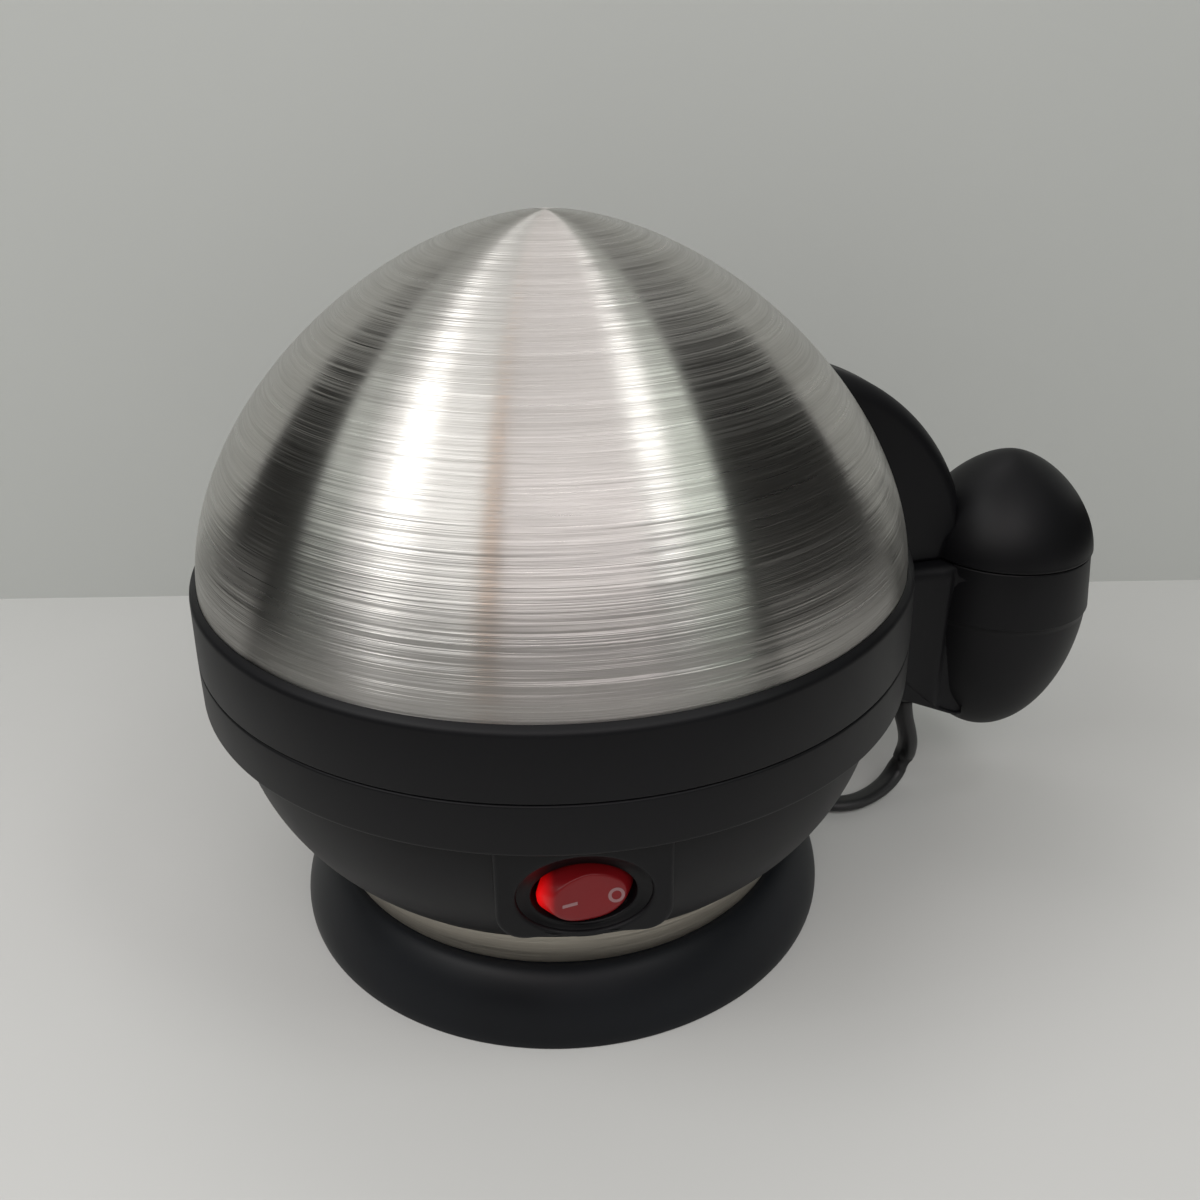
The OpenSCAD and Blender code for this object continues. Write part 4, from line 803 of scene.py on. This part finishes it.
def add_rocker():
    """The rocker: an oval face that falls from both ends to a shallow valley, slanted end walls
    and near upright sides, tilted so that its right end is pressed in; and its printed signs."""
    count = 128
    angle = np.linspace(0, 2 * np.pi, count, endpoint=False)

    def face_height(x):
        """Height of the face over the rocker's axis: a rounded V."""
        return FACE_Y + ROCKER_OUT + 0.85 * (np.sqrt((x / 8) ** 2 + 0.02) - 0.14)

    def place(x, z, h):
        """From rocker face coordinates to the row frame, tilted about the upright axis."""
        c, s = math.cos(ROCKER_TILT), math.sin(ROCKER_TILT)
        return np.stack([x * c + h * s, x * s - h * c - ROCKER_Y, z + SWITCH_Z - ROCKER_DOWN],
                        axis=-1)

    rings, edge_drop, wall_drop = [], 0.18, 3.4

    def ring(width, height, h):
        """An oval of the face or the walls, h over the rocker's axis."""
        rings.append(place(width / 2 * np.cos(angle), height / 2 * np.sin(angle), h))

    for share in np.linspace(0, 1, 16):
        face = face_height(FACE_W / 2 * share * np.cos(angle))
        ring(FACE_W * share, FACE_H * share, face - edge_drop * share ** 16)
    for share in np.linspace(0, 1, 10)[1:]:
        ring(FACE_W + (ROCKER_W - FACE_W) * share, FACE_H + (ROCKER_H - FACE_H) * share,
             face - edge_drop - wall_drop * share ** 1.25)
    for narrow, h in ((0.99, 1.0), (0.92, -0.6), (0.72, -4.5)):
        ring(ROCKER_W * narrow, ROCKER_H, np.full(count, h))
    faces = capped_faces(len(rings), count, start=False)
    rocker = make_mesh("rocker_key", np.array(rings).reshape(-1, 3), faces, rocker_red)
    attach(rocker, "rocker")
    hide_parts("rocker")

    def sign(name, x, z, closed):
        """A printed sign: a grid of points that lies on the face."""
        points = place(x, z, face_height(x) + SIGN_LIFT)
        faces = grid_faces(*points.shape[:2], False, closed)
        made = make_mesh(name, points.reshape(-1, 3), faces, mark_paint)
        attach(made, "rocker")

    r, a = np.meshgrid(np.linspace(RING_LOW_R, RING_R, 5), angle, indexing="ij")
    sign("sign_off", OFF_X + r * np.cos(a), OFF_Z + r * np.sin(a) * 1.12, True)
    x, z = np.meshgrid(np.linspace(-BAR_W / 2, BAR_W / 2, 12),
                       np.linspace(-BAR_H / 2, BAR_H / 2, 3), indexing="ij")
    sign("sign_on", ON_X + x, ON_Z + z, False)


add_foot()
add_collar()
add_base()
add_panel()
add_bezel()
add_neck()
add_egg_low()
add_boot()
add_rocker()

# ------------------------------ finishes of the CAD pieces

FINISHES = {
    black_abs: ["bottom_plate"],
    dish_steel: ["heating_plate", "element_bracket"],
    rack_aluminium: ["egg_rack"],
    cast_aluminium: ["heat_spreader"],
    zinc_steel: ["plate_screws", "base_screws", "clamp_studs", "clamp_nuts", "handle_screws",
                 "arm_screws"],
    sheath_steel: ["heating_element"],
    tab_brass: ["switch_terminals"],
    pin_nickel: ["plug_pins"],
    gasket_silicone: ["plate_gasket"],
    plug_pvc: ["plug_body"],
    tie_nylon: ["cord_tie"],
    lead_silicone: ["inner_leads"],
    ceramic: ["terminal_block", "thermal_fuse"],
    phenolic: ["thermostat"],
}
for finish, names in FINISHES.items():
    for name in names:
        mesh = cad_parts[name].data
        mesh.materials.clear()
        mesh.materials.append(finish)

# ------------------------------ floor, wall and light


def painted(name, code, roughness):
    """Matt paint with a faint unevenness, for the table, the wall and the flags."""
    material, tree, shader, place = new_material(name)
    drift = node(tree, "TexNoise", Vector=place, Scale=3.0, Detail=3.0).outputs["Fac"]
    made = node(tree, "ValToRGB", Fac=drift)
    for element, at, share in zip(made.color_ramp.elements, (0.3, 0.7), (0.97, 1.03)):
        element.position = at
        element.color = [share * v for v in linear(code)[:3]] + [1]
    connect(tree, made.outputs["Color"], shader.inputs["Base Color"])
    shader.inputs["Roughness"].default_value = roughness
    return material


FAN_R, FAN_Z, FAN_REACH, FLAG_REACH = 75, 150, 900.0, 170
CAMERA_SHARE, CAMERA_SIDE = 1.2, math.radians(3)


def fan_point(place, rise, reach):
    """A point at a given reach and rise from the dome's side at azimuth place, where place runs
    from the switch towards the handle, that the circular scratches there show to the camera. The
    part of its direction along the scratch is the opposite of the camera's, so with its azimuth a
    cos(rise) sin(a - place) = CAMERA_SHARE sin(place + CAMERA_SIDE), CAMERA_SHARE being the
    camera's distance from the axis over that from the dome."""
    aside = CAMERA_SHARE * np.sin(place + CAMERA_SIDE) / np.cos(rise)
    a = place + np.arcsin(np.clip(aside, -1, 1))
    return np.stack([FAN_R * np.sin(place) + reach * np.cos(rise) * np.sin(a),
                     -FAN_R * np.cos(place) - reach * np.cos(rise) * np.cos(a),
                     FAN_Z + reach * np.sin(rise) + 0 * place], axis=-1)


def flag(name, first, last, low, high, paint):
    """A black flag that only reflections see, between two azimuths on the dome and two rises,
    all in degrees, where the room round the cooker is dark."""
    rows, columns = 40, 24
    rise, azimuth = np.meshgrid(np.radians(np.linspace(low, high, rows)),
                                np.radians(np.linspace(first, last, columns)), indexing="ij")
    points = fan_point(azimuth, rise, FLAG_REACH).reshape(-1, 3)
    made = make_mesh(name, points, grid_faces(rows, columns), paint, False)
    made.visible_camera = made.visible_diffuse = False
    made.visible_shadow = made.visible_transmission = False
    return made


def add_stage():
    """A pale table top and, behind the cord, a pale wall that stands at a slight angle. The wall
    is clear from its back, so the part can be seen from behind as well."""
    half = FLOOR_HALF_W
    floor = make_mesh("floor", [(-half, -half, 0), (half, -half, 0), (half, half, 0),
                                (-half, half, 0)],
                      [(0, 1, 2, 3)], painted("matt table top", "#c2c2c0", 0.6), False)
    paint = painted("matt wall", "#b1b3b0", 0.8)
    tree = paint.node_tree
    see = node(tree, "Math", {"operation": "MULTIPLY"},
               _0=node(tree, "NewGeometry").outputs["Backfacing"],
               _1=node(tree, "LightPath").outputs["Is Camera Ray"]).outputs["Value"]
    both = node(tree, "MixShader", Fac=see, _1=tree.nodes["Principled BSDF"].outputs["BSDF"],
                _2=node(tree, "BsdfTransparent").outputs["BSDF"])
    connect(tree, both.outputs["Shader"], tree.nodes["Material Output"].inputs["Surface"])
    (left_x, left_y), (right_x, right_y) = WALL_LEFT, WALL_RIGHT
    slope = (right_y - left_y) / (right_x - left_x)
    left, right = ((x, left_y + slope * (x - left_x)) for x in (-WALL_HALF_W, WALL_HALF_W))
    wall = make_mesh("wall", [(*left, 0), (*right, 0), (*right, WALL_H), (*left, WALL_H)],
                     [(0, 1, 2, 3)], paint, False)
    felt = painted("black felt", "#141414", 0.9)
    flag("flag_right", 24.5, 47.5, -25, 72, felt)
    flag("flag_left", -54, -42.5, -25, 72, felt)
    flag("flag_front", -42.5, 24.5, -36, 21, felt)


def lamp(name, at, aim, width, tall, radiance, colour="#ffffff"):
    """A rectangular lamp, upright where it can be, that shines towards a point. radiance is how
    bright its face looks, 1 being white paper in plain light."""
    data = bpy.data.lights.new(name, "AREA")
    data.shape, data.size, data.size_y = "RECTANGLE", width * MM, tall * MM
    data.energy, data.color = radiance * data.size * data.size_y * 4, linear(colour)[:3]
    made = bpy.data.objects.new(name, data)
    way = Matrix.Translation([(b - a) * MM for a, b in zip(at, aim)]).translation
    made.rotation_euler = way.to_track_quat("-Z", "Y").to_euler()
    made.location = [v * MM for v in at]
    made.visible_camera = False
    scene.collection.objects.link(made)


def fan(name, first, last, low, high, radiance, colour="#ffffff"):
    """Lamps in a chain that the dome shows as one fan from its rim to its pole, between two
    azimuths on the dome; low and high are the rise of the chain's ends. All in degrees."""
    count = max(1, round((high - low) / 9))
    edges = np.radians(np.linspace(low, high, count + 1))
    first, last = math.radians(first), math.radians(last)
    middle = (first + last) / 2
    for i, (down, up) in enumerate(zip(edges[:-1], edges[1:])):
        rise = (down + up) / 2
        left, at, right = (fan_point(a, rise, FAN_REACH) for a in (first, middle, last))
        lamp(f"{name} {i + 1}", at, fan_point(middle, rise, 0.0),
             float(np.linalg.norm(right - left)), 2 * FAN_REACH * math.tan((up - down) / 2),
             radiance, colour)


def add_light():
    """An even pale world, and the lamps: each is named for where the dome shows its fan."""
    world = bpy.data.worlds.new("studio")
    world.use_nodes = True
    back = world.node_tree.nodes["Background"]
    back.inputs["Color"].default_value = linear("#c6c6c4")
    back.inputs["Strength"].default_value = 0.9
    scene.world = world
    fan("left soft", -42, -34, 22, 40, 0.9, "#f6fff8")
    fan("left window", -34, -29.5, 28, 50, 2.0)
    fan("left bright", -29.5, -24.5, 34, 60, 4.8)
    fan("left inner", -24.5, -13.5, 32, 56, 2.7)
    fan("left back", -24.5, -13.5, 116, 126, 1.8)
    fan("warm line", -12.7, -12.2, 32, 62, 4.5, "#ffc79a")
    fan("middle", -12, 11.5, 34, 53, 2.8, "#fff8fa")
    fan("middle back", -12, 11.5, 108, 126, 1.8, "#fff8fa")
    fan("right bright", 11.5, 16, 46, 68, 4.8)
    fan("right window", 16, 24, 34, 52, 1.8, "#f2fff4")


add_stage()
add_light()
scene.view_settings.view_transform = "Standard"
